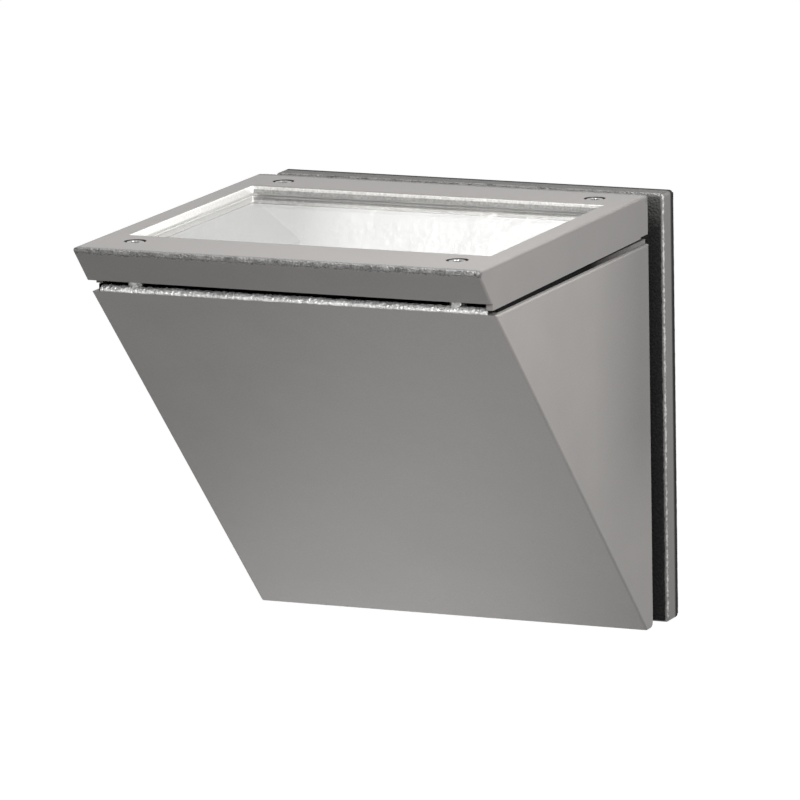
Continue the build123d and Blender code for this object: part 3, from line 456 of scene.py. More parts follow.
# Terminal block. Pressed steatite with a thin glaze, three brass poles with slotted screws, and
# two plated screws that hold it on the plate.
steatite = textured(
    "steatite", (0.70, 0.68, 0.62), (0.80, 0.78, 0.73), grain_size=0.0005, patch_size=0.006,
    relief=0.000015, roughness=(0.38, 0.6)
)
shader_inputs(steatite)["Coat Weight"].default_value = 0.15
brass = textured(
    "brass", (0.62, 0.43, 0.17), (0.76, 0.55, 0.25), grain_size=0.0004, patch_size=0.003,
    relief=0.000008, roughness=(0.24, 0.4), metallic=1.0
)
plated_steel = textured(
    "plated_steel", (0.50, 0.50, 0.49), (0.66, 0.66, 0.65), grain_size=0.0009, patch_size=0.004,
    relief=0.00001, roughness=(0.28, 0.46), metallic=1.0
)
dress(steatite, "terminal_block")
dress(brass, "terminal_screws")
dress(plated_steel, "terminal_block_screws")


# Wedge housing. A cast aluminium wedge in silver paint, painted darker on its sides next to the wall
# as shade. A rough bead of bare metal runs along the front of its deck, its four posts are bare, and
# its lip and rails are painted near black as the shade in the joint under the frame.
housing_low, housing_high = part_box("wedge_housing")
deck_z = 0.06445
deck_front = -0.17185
lip_y = (-0.1632, -0.0438)
lip_margin = 0.0006
rail_x = 0.0742
post_reach_x = 0.07
side_x = 0.0770
shaded_side_y = -0.036
shaded_side_z = 0.0
above_deck = (deck_z + 0.0004, None)
lip_z = (deck_z + 0.0006, None)
crisp_edge = dict(blur=0.0002, ragged=0.0004)
# Painted shade: near black on the lip and rails, standing for the shade in the joint under the frame.
joint_painted_shade = dict(
    dark=(0.004, 0.004, 0.004), light=(0.012, 0.012, 0.012), grain_size=0.001, relief=0.0002,
    roughness=0.8, metallic=0.0, gloss=0.03
)
bare_post = dict(
    dark=(0.12, 0.12, 0.118), light=(0.6, 0.6, 0.59), grain_size=0.0016, relief=0.0003, roughness=0.28,
    metallic=0.7
)
# Painted shade: the housing's sides are painted darker towards the wall.
side_painted_shade = dict(
    dark=(0.150, 0.143, 0.138), light=(0.180, 0.172, 0.166), grain_size=0.0006, relief=0.00001,
    roughness=0.41, metallic=0.1
)
housing_paint = silver_paint("housing_paint", tone=0.25)
# Painted shade on the lip, then on the rails.
refinish(housing_paint, joint_painted_shade, **crisp_edge, y=lip_y, z=lip_z)
refinish(housing_paint, joint_painted_shade, **crisp_edge, mirrored=True, x=(rail_x, None), z=above_deck)
for reach_y in ((None, lip_y[0] - lip_margin), (lip_y[1] + lip_margin, None)):
    refinish(
        housing_paint, bare_post, **crisp_edge, x=(-post_reach_x, post_reach_x), y=reach_y, z=above_deck
    )
# Painted shade on the sides next to the wall.
refinish(
    housing_paint, side_painted_shade, blur=0.045, ragged=0.004, mirrored=True, x=(side_x, None),
    y=(shaded_side_y, None), z=(shaded_side_z, None)
)
dress(housing_paint, "wedge_housing")

bare_casting = textured(
    "bare_casting", (0.42, 0.42, 0.415), (0.98, 0.98, 0.97), grain_size=0.0009, patch_size=0.004,
    relief=0.0002, roughness=(0.22, 0.4), metallic=0.25
)
bead_half = 0.0020
bead_rise = 0.0018
bead_start = deck_front + 0.0003
bead_rows = 22
bead_turn = math.radians(150)
deck_rows = []
for row in range(bead_rows + 1):
    angle = bead_turn * row / bead_rows
    back_share, rise_share = math.cos(angle), math.sin(angle)
    point = Vector((0, bead_start + bead_half * (1 - back_share), deck_z + bead_rise * rise_share))
    outward = Vector((0, -back_share / bead_half, rise_share / bead_rise)).normalized()
    deck_rows.append(along_x(point, outward, rail_x, step=0.0003))
rough_strip(
    "deck_bead", "housing", bare_casting, deck_rows, lift=0.0006, size=0.0010, sunk=0.0003,
    low=housing_low, high=housing_high
)


# Locking screws. Two stainless socket set screws, driven up through the housing's collar to clamp
# it on the plate's spigot.
def skin(name, rings, smooth_angle=35):
    """Closed mesh through rings of equal counts, with a face over each end."""
    count = len(rings[0])
    points = [point for ring in rings for point in ring]
    faces = [tuple(reversed(range(count)))]
    for row in range(len(rings) - 1):
        here, there = row * count, (row + 1) * count
        for k in range(count):
            after = (k + 1) % count
            faces.append((here + k, here + after, there + after, there + k))
    faces.append(tuple(range((len(rings) - 1) * count, len(rings) * count)))
    mesh = bpy.data.meshes.new(name)
    mesh.from_pydata(points, [], faces)
    shape = bmesh.new()
    shape.from_mesh(mesh)
    bmesh.ops.remove_doubles(shape, verts=shape.verts, dist=1e-8)
    bmesh.ops.recalc_face_normals(shape, faces=shape.faces)
    shape.to_mesh(mesh)
    shape.free()
    smooth_faces(mesh, smooth_angle)
    return mesh


def socket_screw(name, thread, pitch, length, key, key_depth, head=0.0, head_height=0.0, around=48):
    """Screw along -Z from its driven end at the origin: hex socket, knurled head, helical thread."""
    turns = [2 * math.pi * k / around for k in range(around)]

    def outline(radii, z):
        return [(radius * math.cos(t), radius * math.sin(t), z) for radius, t in zip(radii, turns)]

    def ring(radius, z):
        return outline([radius] * around, z)

    top = head / 2 if head else thread / 2
    bevel = 0.07 * top
    socket_mouth = 0.62 * key
    hexagon = [key / 2 / math.cos((t + math.pi / 6) % (math.pi / 3) - math.pi / 6) for t in turns]
    rings = [outline(hexagon, -key_depth), outline(hexagon, -bevel)]
    rings += [ring(socket_mouth, 0.0), ring(top - 2 * bevel, 0.0)]
    if head:
        ridge = 0.04 * top
        knurl = [top - ridge * (k % 2) for k in range(around)]
        knurl_end = 0.9 * head_height
        rings += [ring(top - bevel, -bevel), outline(knurl, -2 * bevel), outline(knurl, -knurl_end)]
        rings += [ring(top - bevel, -head_height), ring(thread / 2, -head_height)]
    depth = 0.54 * pitch
    point_taper = 0.15 * thread
    steps = 6
    rows = int(round(length / pitch * steps))
    for row in range(rows + 1):
        left = (rows - row) / steps
        radii = []
        for t in turns:
            wave = (row / steps - t / (2 * math.pi)) % 1.0
            cut = depth * (1 - abs(2 * wave - 1))
            ends = min(1.0, row / steps, left)
            radii.append(thread / 2 - cut * ends - point_taper * max(0.0, 1 - left))
        rings.append(outline(radii, -head_height - length * row / rows))
    return skin(name, rings)


def geometry_tree(name, inputs):
    """Geometry tree with named inputs and a geometry output, and the sockets that it starts from."""
    tree = bpy.data.node_groups.new(name, "GeometryNodeTree")
    for label, kind in inputs:
        tree.interface.new_socket(name=label, in_out="INPUT", socket_type="NodeSocket" + kind)
    tree.interface.new_socket(name="Geometry", in_out="OUTPUT", socket_type="NodeSocketGeometry")
    return tree, tree.nodes.new("NodeGroupInput").outputs


def finish_tree(tree, geometry, finish):
    """Ends a geometry tree in one real mesh of one material."""
    whole = add(tree, "GeometryNodeRealizeInstances", {"Geometry": geometry}).outputs["Geometry"]
    finished = add(tree, "GeometryNodeSetMaterial", {"Geometry": whole, "Material": finish})
    add(tree, "NodeGroupOutput", {"Geometry": finished.outputs["Geometry"]})
    return tree


def grid_tree():
    """Geometry tree that sets one mesh at the points of a grid."""
    spread = [("Size X", "Float"), ("Size Y", "Float"), ("Vertices X", "Int"), ("Vertices Y", "Int")]
    inputs = [("Middle", "Vector"), ("Turn", "Vector"), ("Piece", "Object"), ("Finish", "Material")]
    tree, start = geometry_tree("set_on_grid", spread + inputs)
    size = {label: start[label] for label, kind in spread}
    grid = add(tree, "GeometryNodeMeshGrid", size).outputs["Mesh"]
    placed = add(tree, "GeometryNodeTransform", {"Geometry": grid, "Translation": start["Middle"]})
    piece = add(tree, "GeometryNodeObjectInfo", {"Object": start["Piece"]}).outputs["Geometry"]
    turned = add(tree, "FunctionNodeEulerToRotation", {0: start["Turn"]}).outputs[0]
    each = {"Points": placed.outputs["Geometry"], "Instance": piece, "Rotation": turned}
    copies = add(tree, "GeometryNodeInstanceOnPoints", each)
    return finish_tree(tree, copies.outputs["Instances"], start["Finish"])


def run_tree(name, tree, values, blank=None):
    """Object with the plain mesh that a geometry tree makes."""
    carrier = linked_object(name + "_maker", blank or bpy.data.meshes.new(name + "_blank"))
    maker = carrier.modifiers.new("maker", "NODES")
    maker.node_group = tree
    for item in tree.interface.items_tree:
        if item.item_type == "SOCKET" and item.in_out == "INPUT" and item.name in values:
            maker[item.identifier] = values[item.name]
    return linked_object(name, evaluated_mesh(carrier))


set_on_grid = grid_tree()


def grid_of(name, mesh, middle, size, count, material, turn=(0.0, 0.0, 0.0)):
    """Copies of a mesh, set on a grid round a middle point."""
    pattern = linked_object(name + "_pattern", mesh)
    values = {"Size X": size[0], "Size Y": size[1], "Vertices X": count[0], "Vertices Y": count[1]}
    values |= {"Middle": middle, "Turn": turn, "Piece": pattern, "Finish": material}
    piece = run_tree(name, set_on_grid, values)
    bpy.data.objects.remove(pattern)
    return piece


stainless = textured(
    "stainless", (0.26, 0.255, 0.25), (0.42, 0.415, 0.405), grain_size=0.0003, patch_size=0.003,
    relief=0.000006, roughness=(0.2, 0.36), metallic=1.0
)
lock_thread = 0.005
lock_low, lock_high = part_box("locking_screws")
set_screw = socket_screw(
    "set_screw", lock_thread, pitch=0.0008, length=lock_high.z - lock_low.z, key=0.0025, key_depth=0.0025
)
locking = grid_of(
    "locking_set_screws", set_screw, middle=(0.0, (lock_low.y + lock_high.y) / 2, lock_low.z),
    size=(lock_high.x - lock_low.x - lock_thread, 0.0), count=(2, 1), material=stainless,
    turn=(math.pi, 0.0, 0.0)
)
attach(locking, "housing")
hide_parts("locking_screws")


# Wire grommet. A heat-proof silicone ring, pressed into the wire hole of the housing's back wall.
# The silicone is brick red, as heat-proof parts often are.
red_silicone = textured(
    "red_silicone", (0.24, 0.035, 0.02), (0.32, 0.055, 0.032), grain_size=0.0008, patch_size=0.004,
    relief=0.00001, roughness=(0.4, 0.55)
)
dress(red_silicone, "wire_grommet")


# Earth tag and screw. A tinned ring tag with a crimped barrel, under a brass slotted screw on the
# boss inside the housing.
dress(plated_steel, "earth_tag")
dress(brass, "earth_screw")


# Inner leads. Stranded copper in a woven glass sleeve over silicone, brown, blue and green, led
# through the wire grommet to the lampholders and to the earth tag.
for name, lead, dark, light in (
    ("brown_sleeve", "lead_live", (0.10, 0.04, 0.02), (0.2, 0.09, 0.045)),
    ("blue_sleeve", "lead_neutral", (0.03, 0.08, 0.25), (0.07, 0.16, 0.4)),
    ("green_sleeve", "lead_earth", (0.06, 0.2, 0.05), (0.4, 0.42, 0.06)),
):
    sleeve = textured(
        name, dark, light, grain_size=0.0005, patch_size=0.002, relief=0.00006, roughness=(0.6, 0.8)
    )
    dress(sleeve, lead)


# Reflector. One blank of bright aluminium with a hammered grain, folded into a tray with flared
# sides, painted darker at its left end as shade and with painted glints. Its flange hangs on the
# housing's lip, and the lampholders' noses come through its ends.
reflector_low, reflector_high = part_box("reflector")
middle_y = (reflector_low.y + reflector_high.y) / 2
sheet = 0.0008
mouth_half = (0.06997, 0.05464)
flare_half = (0.04604, 0.04342)
floor_half = (0.04314, 0.02092)
flare_depth = 0.0126
flare_z = reflector_high.z - flare_depth
floor_z = reflector_low.z + sheet
tube_low, tube_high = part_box("lamp_tube")
lamp_z = (tube_low.z + tube_high.z) / 2
nose_hole = 0.0073
strip_screw_x = 0.025
strip_screw_hole = 0.0017


def rim_points(half, z, count):
    """Points round a level rectangle, from its front left corner, count[0] along X and count[1] along Y."""
    x, y = half
    corners = [(-x, -y), (x, -y), (x, y), (-x, y)]
    points = []
    for side in range(4):
        here, there = np.array(corners[side]), np.array(corners[(side + 1) % 4])
        steps = count[side % 2]
        for k in range(steps):
            spot = here + (there - here) * k / steps
            points.append((spot[0], spot[1] + middle_y, z))
    return points


def between(first, last, share):
    """Pair of half widths at a share of the way from one pair to another."""
    return [a + (b - a) * share for a, b in zip(first, last)]


def open_hole(shape, axis, middle, radius):
    """Opens a round hole about an axis in one wall of the tray, and rounds its rim."""
    inside = set()
    for vertex in shape.verts:
        reach = vertex.co - middle
        ahead = reach.dot(axis)
        across = reach - axis * ahead
        on_wall = ahead > 0.5 * floor_half[0] if axis.x else abs(ahead) < sheet
        if across.length < radius and on_wall:
            inside.add(vertex)
    shape.faces.index_update()
    doomed = [face for face in shape.faces if all(vertex in inside for vertex in face.verts)]
    bmesh.ops.delete(shape, geom=doomed, context="FACES")
    for vertex in [v for v in shape.verts if v in inside and v.is_valid]:
        reach = vertex.co - middle
        ahead = reach.dot(axis)
        across = reach - axis * ahead
        if across.length > 1e-9:
            vertex.co = middle + axis * ahead + across.normalized() * radius


def tray_blank(name, fine, flare_rows, steep_rows):
    """Smooth inner face of the tray with its flange: fine on the flare, half as fine below it."""
    coarse = (fine[0] // 2, fine[1] // 2)
    flange_half = ((reflector_high.x - reflector_low.x) / 2, (reflector_high.y - reflector_low.y) / 2)
    levels = [(flange_half, reflector_high.z, fine)]
    for row in range(flare_rows + 1):
        t = row / flare_rows
        z = reflector_high.z + (flare_z - reflector_high.z) * t
        levels.append((between(mouth_half, flare_half, t), z, fine))
    for row in range(1, steep_rows + 1):
        t = row / steep_rows
        levels.append((between(flare_half, floor_half, t), flare_z + (floor_z - flare_z) * t, coarse))
    shape = bmesh.new()
    before = None
    for half, z, count in levels:
        ring = [shape.verts.new(point) for point in rim_points(half, z, count)]
        for k in range(len(ring) if before else 0):
            after = (k + 1) % len(ring)
            if len(before) == len(ring):
                shape.faces.new((before[k], before[after], ring[after], ring[k]))
            else:
                last = (2 * k + 2) % len(before)
                shape.faces.new((before[2 * k], before[2 * k + 1], before[last], ring[after], ring[k]))
        before = ring
    columns, rows = coarse
    floor = {}
    for k, vertex in enumerate(before):
        if k < columns:
            spot = (k, 0)
        elif k < columns + rows:
            spot = (columns, k - columns)
        elif k < 2 * columns + rows:
            spot = (2 * columns + rows - k, rows)
        else:
            spot = (0, 2 * columns + 2 * rows - k)
        floor[spot] = vertex
    for i in range(1, columns):
        for j in range(1, rows):
            x = floor_half[0] * (2 * i / columns - 1)
            y = floor_half[1] * (2 * j / rows - 1) + middle_y
            floor[i, j] = shape.verts.new((x, y, floor_z))
    for i in range(columns):
        for j in range(rows):
            shape.faces.new((floor[i, j], floor[i + 1, j], floor[i + 1, j + 1], floor[i, j + 1]))
    for side in (-1, 1):
        open_hole(shape, Vector((side, 0, 0)), Vector((0, middle_y, lamp_z)), nose_hole)
    for x in (-strip_screw_x, strip_screw_x):
        open_hole(shape, Vector((0, 0, -1)), Vector((x, middle_y, floor_z)), strip_screw_hole)
    bmesh.ops.remove_doubles(shape, verts=shape.verts, dist=2e-5)
    bmesh.ops.recalc_face_normals(shape, faces=shape.faces)
    return mesh_from(name, shape)


def hammered_tree():
    """Geometry tree that beats round dents into a mesh along its normals."""
    inputs = [("Geometry", "Geometry"), ("Dent size", "Float"), ("Dent depth", "Float")]
    tree, start = geometry_tree("hammered", inputs + [("Finish", "Material")])
    density = calc(tree, "DIVIDE", 1.0, start["Dent size"])
    place = add(tree, "GeometryNodeInputPosition").outputs["Position"]
    dents = add(tree, "ShaderNodeTexVoronoi", {"Vector": place, "Scale": density})
    bowl = calc(tree, "POWER", dents.outputs["Distance"], 2.0)
    depth = calc(tree, "MULTIPLY", calc(tree, "SUBTRACT", bowl, 1.0), start["Dent depth"])
    normal = add(tree, "GeometryNodeInputNormal").outputs["Normal"]
    shift = add(tree, "ShaderNodeVectorMath", {0: normal, "Scale": depth}, operation="SCALE")
    sunk = {"Geometry": start["Geometry"], "Offset": shift.outputs[0]}
    beaten = add(tree, "GeometryNodeSetPosition", sunk)
    return finish_tree(tree, beaten.outputs["Geometry"], start["Finish"])


hammered_aluminium = textured(
    "hammered_aluminium", (0.45, 0.45, 0.447), (0.59, 0.59, 0.583), grain_size=0.0007, patch_size=0.01,
    relief=0.00006, roughness=(0.32, 0.5), metallic=1.0
)
# Painted shade: the reflector's left end is painted darker, where the lamp's light only grazes it.
end_painted_shade = dict(
    dark=(0.09, 0.09, 0.089), light=(0.16, 0.16, 0.158), grain_size=0.0008, relief=0.00004,
    roughness=0.55, metallic=1.0
)
shaded_end_x = -0.050
# Painted shade at the left end.
refinish(hammered_aluminium, end_painted_shade, blur=0.028, ragged=0.002, x=(None, shaded_end_x))
reflector_tree = hammered_aluminium.node_tree
reflector_tone = shader_inputs(hammered_aluminium)["Base Color"]
# Painted glints: sparse bright specks mixed into the reflector's colour.
painted_glint = (0.5, 0.5, 0.495, 1)
glint_grain = add(reflector_tree, "ShaderNodeGroup", {"Grain size": 0.0009}, node_tree=grain)
glint_share = calc(reflector_tree, "POWER", glint_grain.outputs["Flakes"], 2.0)
plain = reflector_tone.links[0].from_socket
reflector_tree.links.new(mix_colours(reflector_tree, glint_share, plain, painted_glint), reflector_tone)
dent_room = 0.0002
tray = run_tree(
    "reflector_tray", hammered_tree(),
    {"Dent size": 0.0022, "Dent depth": 0.00022, "Finish": hammered_aluminium},
    tray_blank("tray_blank", fine=(200, 150), flare_rows=26, steep_rows=22)
)
thickness = tray.modifiers.new("sheet", "SOLIDIFY")
thickness.thickness = sheet - dent_room
thickness.offset = -1.0
tray_mesh = evaluated_mesh(tray)
smooth_faces(tray_mesh, sharp_degrees=38)
tray = linked_object("reflector_tray", tray_mesh)
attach(tray, "housing")
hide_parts("reflector")


# Lampholder bracket. A zinc-plated steel strip, folded up at both ends and clamped under the
# reflector's floor by two slotted screws and nuts.
zinc = textured(
    "zinc", (0.50, 0.50, 0.49), (0.68, 0.68, 0.66), grain_size=0.0016, patch_size=0.009,
    relief=0.000012, roughness=(0.3, 0.5), metallic=1.0
)
dress(zinc, "lampholder_bracket")
dress(plated_steel, "bracket_screws", "bracket_nuts")


# Lampholders. Steatite blocks, riveted to the ears of the bracket, each with a round nose through
# the end of the reflector.
dress(steatite, "lampholder_left", "lampholder_right")
dress(plated_steel, "lampholder_rivets")


# Contacts. Turned brass plungers that slide in the lampholders' bores, each pushed at the lamp by
# a coil spring of steel wire behind it.
def coil_tree():
    """Geometry tree for a wire coil along X, from a start point."""
    inputs = [("Turns", "Float"), ("Steps", "Int"), ("Coil radius", "Float"), ("Length", "Float")]
    inputs += [("Wire radius", "Float"), ("Sides", "Int"), ("Start", "Vector"), ("Finish", "Material")]
    tree, start = geometry_tree("wire_coil", inputs)
    course = {"Resolution": start["Steps"], "Rotations": start["Turns"], "Height": start["Length"]}
    course |= {end: start["Coil radius"] for end in ("Start Radius", "End Radius")}
    spiral = add(tree, "GeometryNodeCurveSpiral", course)
    along = {"Translation": start["Start"], "Rotation": (0.0, math.pi / 2, 0.0)}
    laid = add(tree, "GeometryNodeTransform", {"Geometry": spiral.outputs["Curve"], **along})
    section = {"Resolution": start["Sides"], "Radius": start["Wire radius"]}
    wire = add(tree, "GeometryNodeCurvePrimitiveCircle", section)
    swept = {"Curve": laid.outputs["Geometry"], "Profile Curve": wire.outputs["Curve"], "Fill Caps": True}
    tube = add(tree, "GeometryNodeCurveToMesh", swept)
    return finish_tree(tree, tube.outputs["Mesh"], start["Finish"])


wire_coil = coil_tree()
spring_steel = textured(
    "spring_steel", (0.30, 0.30, 0.31), (0.45, 0.45, 0.46), grain_size=0.0004, patch_size=0.002,
    relief=0.000004, roughness=(0.25, 0.4), metallic=1.0
)
spring_wire = 0.0006
dress(brass, "contact_left", "contact_right")
for hand in ("left", "right"):
    low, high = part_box(f"contact_spring_{hand}")
    length = high.x - low.x
    spring = run_tree(
        f"plunger_spring_{hand}",
        wire_coil,
        {
            "Turns": 4.0,
            "Steps": 28,
            "Coil radius": (high.z - low.z - spring_wire) / 2,
            "Length": length - spring_wire,
            "Wire radius": spring_wire / 2,
            "Sides": 10,
            "Start": (low.x + spring_wire / 2, (low.y + high.y) / 2, (low.z + high.z) / 2),
            "Finish": spring_steel,
        },
    )
    smooth_faces(spring.data)
    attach(spring, "housing")
    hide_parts(f"contact_spring_{hand}")
    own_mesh(spring)


# Lamp. A double-ended halogen lamp: a quartz tube with pinched ends, steatite caps cemented on, and
# a coiled tungsten filament between the pinches, which glows faintly.
def clear_glass(name, tint, ior):
    """Clear glass with a slight smear, which lets light straight through in its shadow."""
    material, tree, shader = fresh_material(name)
    shader["Base Color"].default_value = (*tint, 1)
    shader["Transmission Weight"].default_value = 1.0
    shader["IOR"].default_value = ior
    smear = add(tree, "ShaderNodeGroup", {"Grain size": 0.004, "Patch size": 0.03}, node_tree=grain)
    tree.links.new(ramp(tree, smear.outputs["Patches"], high=0.03), shader["Roughness"])
    path = add(tree, "ShaderNodeLightPath").outputs
    through = calc(tree, "MAXIMUM", path["Is Shadow Ray"], path["Is Diffuse Ray"])
    open_air = add(tree, "ShaderNodeBsdfTransparent", {"Color": (0.95, 0.95, 0.945, 1)})
    glass = tree.nodes["Principled BSDF"].outputs["BSDF"]
    mixed = add(tree, "ShaderNodeMixShader", {0: through, 1: glass, 2: open_air.outputs["BSDF"]})
    tree.links.new(mixed.outputs["Shader"], tree.nodes["Material Output"].inputs["Surface"])
    return material


lamp_y = (tube_low.y + tube_high.y) / 2
bulb_radius = (tube_high.z - tube_low.z) / 2
bulb_half = 0.0225
cavity_half = bulb_half + 0.0025
shoulder = 0.0042
shoulder_steps = 8
pinch_half = (0.0024, 0.0013)
tube_half = (tube_high.x - tube_low.x) / 2
wall = 0.001
around_tube = 32


def tube_ring(x, half_y, half_z):
    """Oval ring of the tube at a place along it."""
    turns = [2 * math.pi * k / around_tube for k in range(around_tube)]
    return [(x, lamp_y + half_y * math.cos(t), lamp_z + half_z * math.sin(t)) for t in turns]


def tube_rings(inset):
    """Rings of the quartz tube from end to end, drawn down to a flat pinch at each end."""
    shares = [k / shoulder_steps for k in range(shoulder_steps + 1)]
    stations = [(-tube_half, 1.0)]
    stations += [(-bulb_half - shoulder * (1 - share), 1 - share) for share in shares]
    stations += [(bulb_half + shoulder * share, share) for share in shares]
    stations.append((tube_half, 1.0))
    rings = []
    for x, drawn in stations:
        ease = drawn * drawn * (3 - 2 * drawn)
        half_y = bulb_radius + (pinch_half[0] - bulb_radius) * ease - inset
        half_z = bulb_radius + (pinch_half[1] - bulb_radius) * ease - inset
        rings.append(tube_ring(x, half_y, half_z))
    return rings


def quartz_tube():
    """Mesh of the tube with its hollow."""
    shape = bmesh.new()
    shape.from_mesh(skin("quartz_outer", tube_rings(0.0)))
    hollow = bmesh.new()
    cavity = [ring for ring in tube_rings(wall) if abs(ring[0][0]) < cavity_half]
    hollow.from_mesh(skin("quartz_inner", cavity))
    bmesh.ops.reverse_faces(hollow, faces=hollow.faces)
    shape.from_mesh(mesh_from("quartz_cavity", hollow))
    mesh = mesh_from("quartz_tube", shape)
    smooth_faces(mesh)
    return mesh


quartz = clear_glass("quartz", tint=(1.0, 1.0, 1.0), ior=1.46)
tube = linked_object("lamp_quartz", quartz_tube())
tube.data.materials.append(quartz)
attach(tube, "housing")
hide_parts("lamp_tube")

tungsten = textured(
    "hot_tungsten", (0.42, 0.40, 0.37), (0.56, 0.54, 0.5), grain_size=0.0001, patch_size=0.001,
    relief=0.000002, roughness=(0.35, 0.5), metallic=1.0
)
shader_inputs(tungsten)["Emission Color"].default_value = (1.0, 0.97, 0.93, 1)
shader_inputs(tungsten)["Emission Strength"].default_value = 12.0
filament_low, filament_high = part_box("lamp_filament")
filament_wire = 0.00022
filament = run_tree(
    "lamp_filament_coil",
    wire_coil,
    {
        "Turns": 90.0,
        "Steps": 12,
        "Coil radius": (filament_high.z - filament_low.z - filament_wire) / 2,
        "Length": 2 * bulb_half,
        "Wire radius": filament_wire / 2,
        "Sides": 5,
        "Start": (-bulb_half, lamp_y, lamp_z),
        "Finish": tungsten,
    },
)
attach(filament, "housing")
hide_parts("lamp_filament")
dress(steatite, "lamp_caps")


# Glass seal. A grey silicone channel, painted paler along its two sides as light, pushed over the
# edge of the glass and squeezed between the frame and the lip.
grey_silicone = textured(
    "grey_silicone", (0.32, 0.317, 0.31), (0.42, 0.416, 0.408), grain_size=0.001, patch_size=0.01,
    relief=0.000012, roughness=(0.35, 0.5)
)
# Painted light: the seal's sides are painted paler.
seal_side_painted_light = dict(
    dark=(0.66, 0.655, 0.64), light=(0.80, 0.795, 0.78), grain_size=0.001, relief=0.00002,
    roughness=0.4, metallic=0.0
)
seal_side_x = 0.0680
# Painted light on the seal's sides.
refinish(grey_silicone, seal_side_painted_light, blur=0.0004, ragged=0.0002, mirrored=True, x=(seal_side_x, None))
dress(grey_silicone, "glass_seal")


# Glass pane. Flat toughened glass, 4 mm thick, with ground edges held in the seal.
# It lifts off with the frame.
pane_glass = clear_glass("pane_glass", tint=(1.0, 0.998, 0.99), ior=1.5)
dress(pane_glass, "glass_pane")


# Glass frame. A cast aluminium frame in silver paint, with a sloped front. Its front and back top
# edges are rough as cast under the paint. Its counterbores are painted dark as shade, and the walls
# of its opening are painted pale as light, with a painted highlight, brightest at the sides.
frame_low, frame_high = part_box("glass_frame")
rough_band = 0.0020
bore_half = 0.0043
bore_x = 0.0617
bore_places_y = (-0.16785, -0.0392)
bore_depth = 0.0002
opening_x = 0.0696
opening_y = (-0.1571, -0.0499)
opening_depth = 0.0003
side_wall_start = opening_x - 0.0004
# Height of the painted highlight along the top of the opening's walls.
painted_highlight_z = (frame_high.z - 0.0014, frame_high.z - 0.0004)
rough_edge = dict(
    dark=(0.03, 0.03, 0.029), light=(0.22, 0.217, 0.213), grain_size=0.0008, relief=0.0003,
    roughness=0.45, metallic=0.2
)
# Painted shade: the counterbores' walls are painted near black.
bore_painted_shade = dict(
    dark=(0.008, 0.008, 0.008), light=(0.03, 0.03, 0.029), grain_size=0.0006, relief=0.00005,
    roughness=0.7, metallic=0.0
)
frame_paint = silver_paint("frame_paint", tone=0.19)
for edge_y in (frame_low.y, frame_high.y):
    refinish(
        frame_paint, rough_edge, blur=0.0006, ragged=0.0022,
        y=(edge_y - rough_band, edge_y + rough_band), z=(frame_high.z - rough_band, None)
    )
# Painted shade in the counterbores.
for bore_y in bore_places_y:
    refinish(
        frame_paint, bore_painted_shade, blur=0.0001, ragged=0.0, mirrored=True,
        x=(bore_x - bore_half, bore_x + bore_half), y=(bore_y - bore_half, bore_y + bore_half),
        z=(None, frame_high.z - bore_depth)
    )
# Painted light: the opening's walls are painted pale, with a painted highlight along their top, brightest
# at the sides.
walls = {"x": (-opening_x, opening_x), "y": opening_y, "z": (None, frame_high.z - opening_depth)}
for limits, mirrored, dark, light in (
    ({}, False, (0.22, 0.218, 0.213), (0.34, 0.337, 0.33)),
    ({"z": painted_highlight_z}, False, (0.46, 0.455, 0.44), (0.66, 0.65, 0.63)),
    ({"x": (side_wall_start, opening_x)}, True, (0.78, 0.77, 0.75), (0.94, 0.93, 0.91)),
):
    opening_painted_light = dict(dark=dark, light=light, grain_size=0.0008, relief=0.00003, roughness=0.35, metallic=0.5)
    refinish(frame_paint, opening_painted_light, blur=0.0002, ragged=0.0002, mirrored=mirrored, **{**walls, **limits})
dress(frame_paint, "glass_frame")

frame_edge = 0.001
front_lean = 41.5
for name, middle, turn, lift in (
    ("frame_front_edge", frame_low.y + frame_edge, 90 + front_lean, 0.0004),
    ("frame_back_edge", frame_high.y - frame_edge, -90, 0.0003),
):
    rows = edge_rows(
        middle, frame_high.z - frame_edge, frame_edge, turn, half_x=frame_high.x - 2 * frame_edge,
        step=0.00025, count=14
    )
    limits = {"low": frame_low, "high": frame_high}
    rough_strip(name, "frame", rough_paint, rows, lift=lift, size=0.0009, sunk=0.0002, **limits)


# Frame screws. Four stainless socket-head screws with knurled heads, sunk in counterbores, that
# clamp the frame down on the housing's posts.
screw_low, screw_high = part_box("frame_screws")
head = 0.007
head_height = 0.004
frame_screw = socket_screw(
    "frame_screw", thread=0.004, pitch=0.0007, length=screw_high.z - screw_low.z - head_height,
    key=0.003, key_depth=0.002, head=head, head_height=head_height
)
frame_screws = grid_of(
    "frame_socket_screws", frame_screw, middle=(0.0, (screw_low.y + screw_high.y) / 2, screw_high.z),
    size=(screw_high.x - screw_low.x - head, screw_high.y - screw_low.y - head), count=(2, 2),
    material=stainless
)
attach(frame_screws, "frame")
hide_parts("frame_screws")


# Studio. A white floor well below the light, which hangs as it does on a wall, soft boxes in front,
# above and on both sides, a weak one below, and a long lens.
def background_seen(tree):
    """1 for rays that see the background: from the camera, off gloss and through glass."""
    path = add(tree, "ShaderNodeLightPath").outputs
    seen = path["Is Camera Ray"]
    for ray in ("Is Glossy Ray", "Is Transmission Ray"):
        seen = calc(tree, "MAXIMUM", seen, path[ray])
    return seen


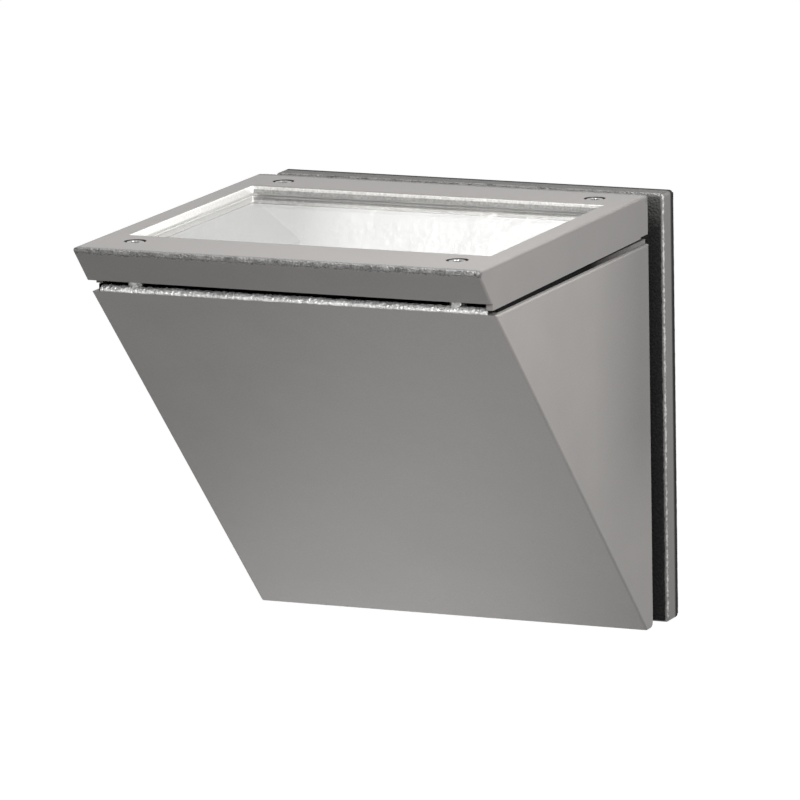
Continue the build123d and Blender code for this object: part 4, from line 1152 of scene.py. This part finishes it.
floor_level = -0.55
floor_reach = 20.0
floor_white = 0.995
corner_signs = ((-1, -1), (1, -1), (1, 1), (-1, 1))
floor_corners = [(x * floor_reach, y * floor_reach, floor_level) for x, y in corner_signs]
floor_mesh = bpy.data.meshes.new("floor")
floor_mesh.from_pydata(floor_corners, [], [(0, 1, 2, 3)])
floor = linked_object("floor", floor_mesh)
floor_material, floor_tree, floor_shader = fresh_material("pale_floor")
floor_glow = calc(floor_tree, "MULTIPLY", background_seen(floor_tree), floor_white)
floor_tree.links.new(floor_glow, floor_shader["Emission Strength"])
floor_shader["Emission Color"].default_value = (1.0, 1.0, 1.0, 1)
floor_shader["Base Color"].default_value = (0.4, 0.4, 0.4, 1)
floor_shader["Roughness"].default_value = 1.0
floor_shader["Specular IOR Level"].default_value = 0.0
floor_mesh.materials.append(floor_material)

sky_fill = 0.015
sky_white = 1.0
world = bpy.data.worlds.new("studio")
bpy.context.scene.world = world
world.use_nodes = True
sky = world.node_tree
sky.nodes.clear()
level = ramp(sky, background_seen(sky), low=sky_fill, high=sky_white)
backdrop = add(sky, "ShaderNodeBackground", {"Color": (1.0, 1.0, 1.0, 1.0), "Strength": level})
add(sky, "ShaderNodeOutputWorld", {"Surface": backdrop.outputs["Background"]})

lit_point = Vector((0.0, -0.10, 0.02))


def soft_box(name, place, side, watts):
    """Square soft box that faces the light."""
    lamp = bpy.data.lights.new(name, "AREA")
    lamp.shape = "SQUARE"
    lamp.size = side
    lamp.energy = watts
    holder = bpy.data.objects.new(name, lamp)
    holder.location = place
    holder.rotation_euler = (Vector(place) - lit_point).to_track_quat("Z", "Y").to_euler()
    bpy.context.scene.collection.objects.link(holder)


def direction(heading, height):
    """Unit vector at a heading from the front to the right, and at a height, both in degrees."""
    a, e = math.radians(heading), math.radians(height)
    return Vector((math.sin(a) * math.cos(e), -math.cos(a) * math.cos(e), math.sin(e)))


soft_box("back_right", lit_point + 0.9 * direction(120, 60), side=0.5, watts=1.26)
soft_box("top", lit_point + 0.5 * direction(45, 70), side=0.3, watts=2.55)
soft_box("front", lit_point + 0.9 * direction(30, 30), side=0.5, watts=8.0)
soft_box("left", lit_point + 0.9 * direction(-35, 15), side=0.5, watts=0.5)
soft_box("side", lit_point + 0.45 * direction(72, 20), side=0.3, watts=0.9)
soft_box("bounce", (-0.10, 0.0, -0.27), side=0.15, watts=0.145)

camera_roll = math.radians(-1.088)
camera_distance = 2.80647
focal_pixels = 7652.0
image_pixels = 800.0
frame_shift = (0.01883, 0.07927)
aim = Vector((0.0, -0.0264, 0.08255))
back = direction(23.40, 11.47)
level_right = Vector((0, 0, 1)).cross(back).normalized()
level_up = back.cross(level_right)
right = math.cos(camera_roll) * level_right + math.sin(camera_roll) * level_up
up = -math.sin(camera_roll) * level_right + math.cos(camera_roll) * level_up
lens = bpy.data.cameras.new("long_lens")
lens.sensor_fit = "HORIZONTAL"
lens.sensor_width = 36.0
lens.lens = lens.sensor_width * focal_pixels / image_pixels
lens.clip_end = 100.0
camera = bpy.data.objects.new("long_lens", lens)
place = aim + back * camera_distance - right * frame_shift[0] - up * frame_shift[1]
camera.matrix_world = Matrix.Translation(place) @ Matrix((right, up, back)).transposed().to_4x4()
bpy.context.scene.collection.objects.link(camera)
bpy.context.scene.camera = camera
bpy.context.scene.view_settings.view_transform = "Standard"
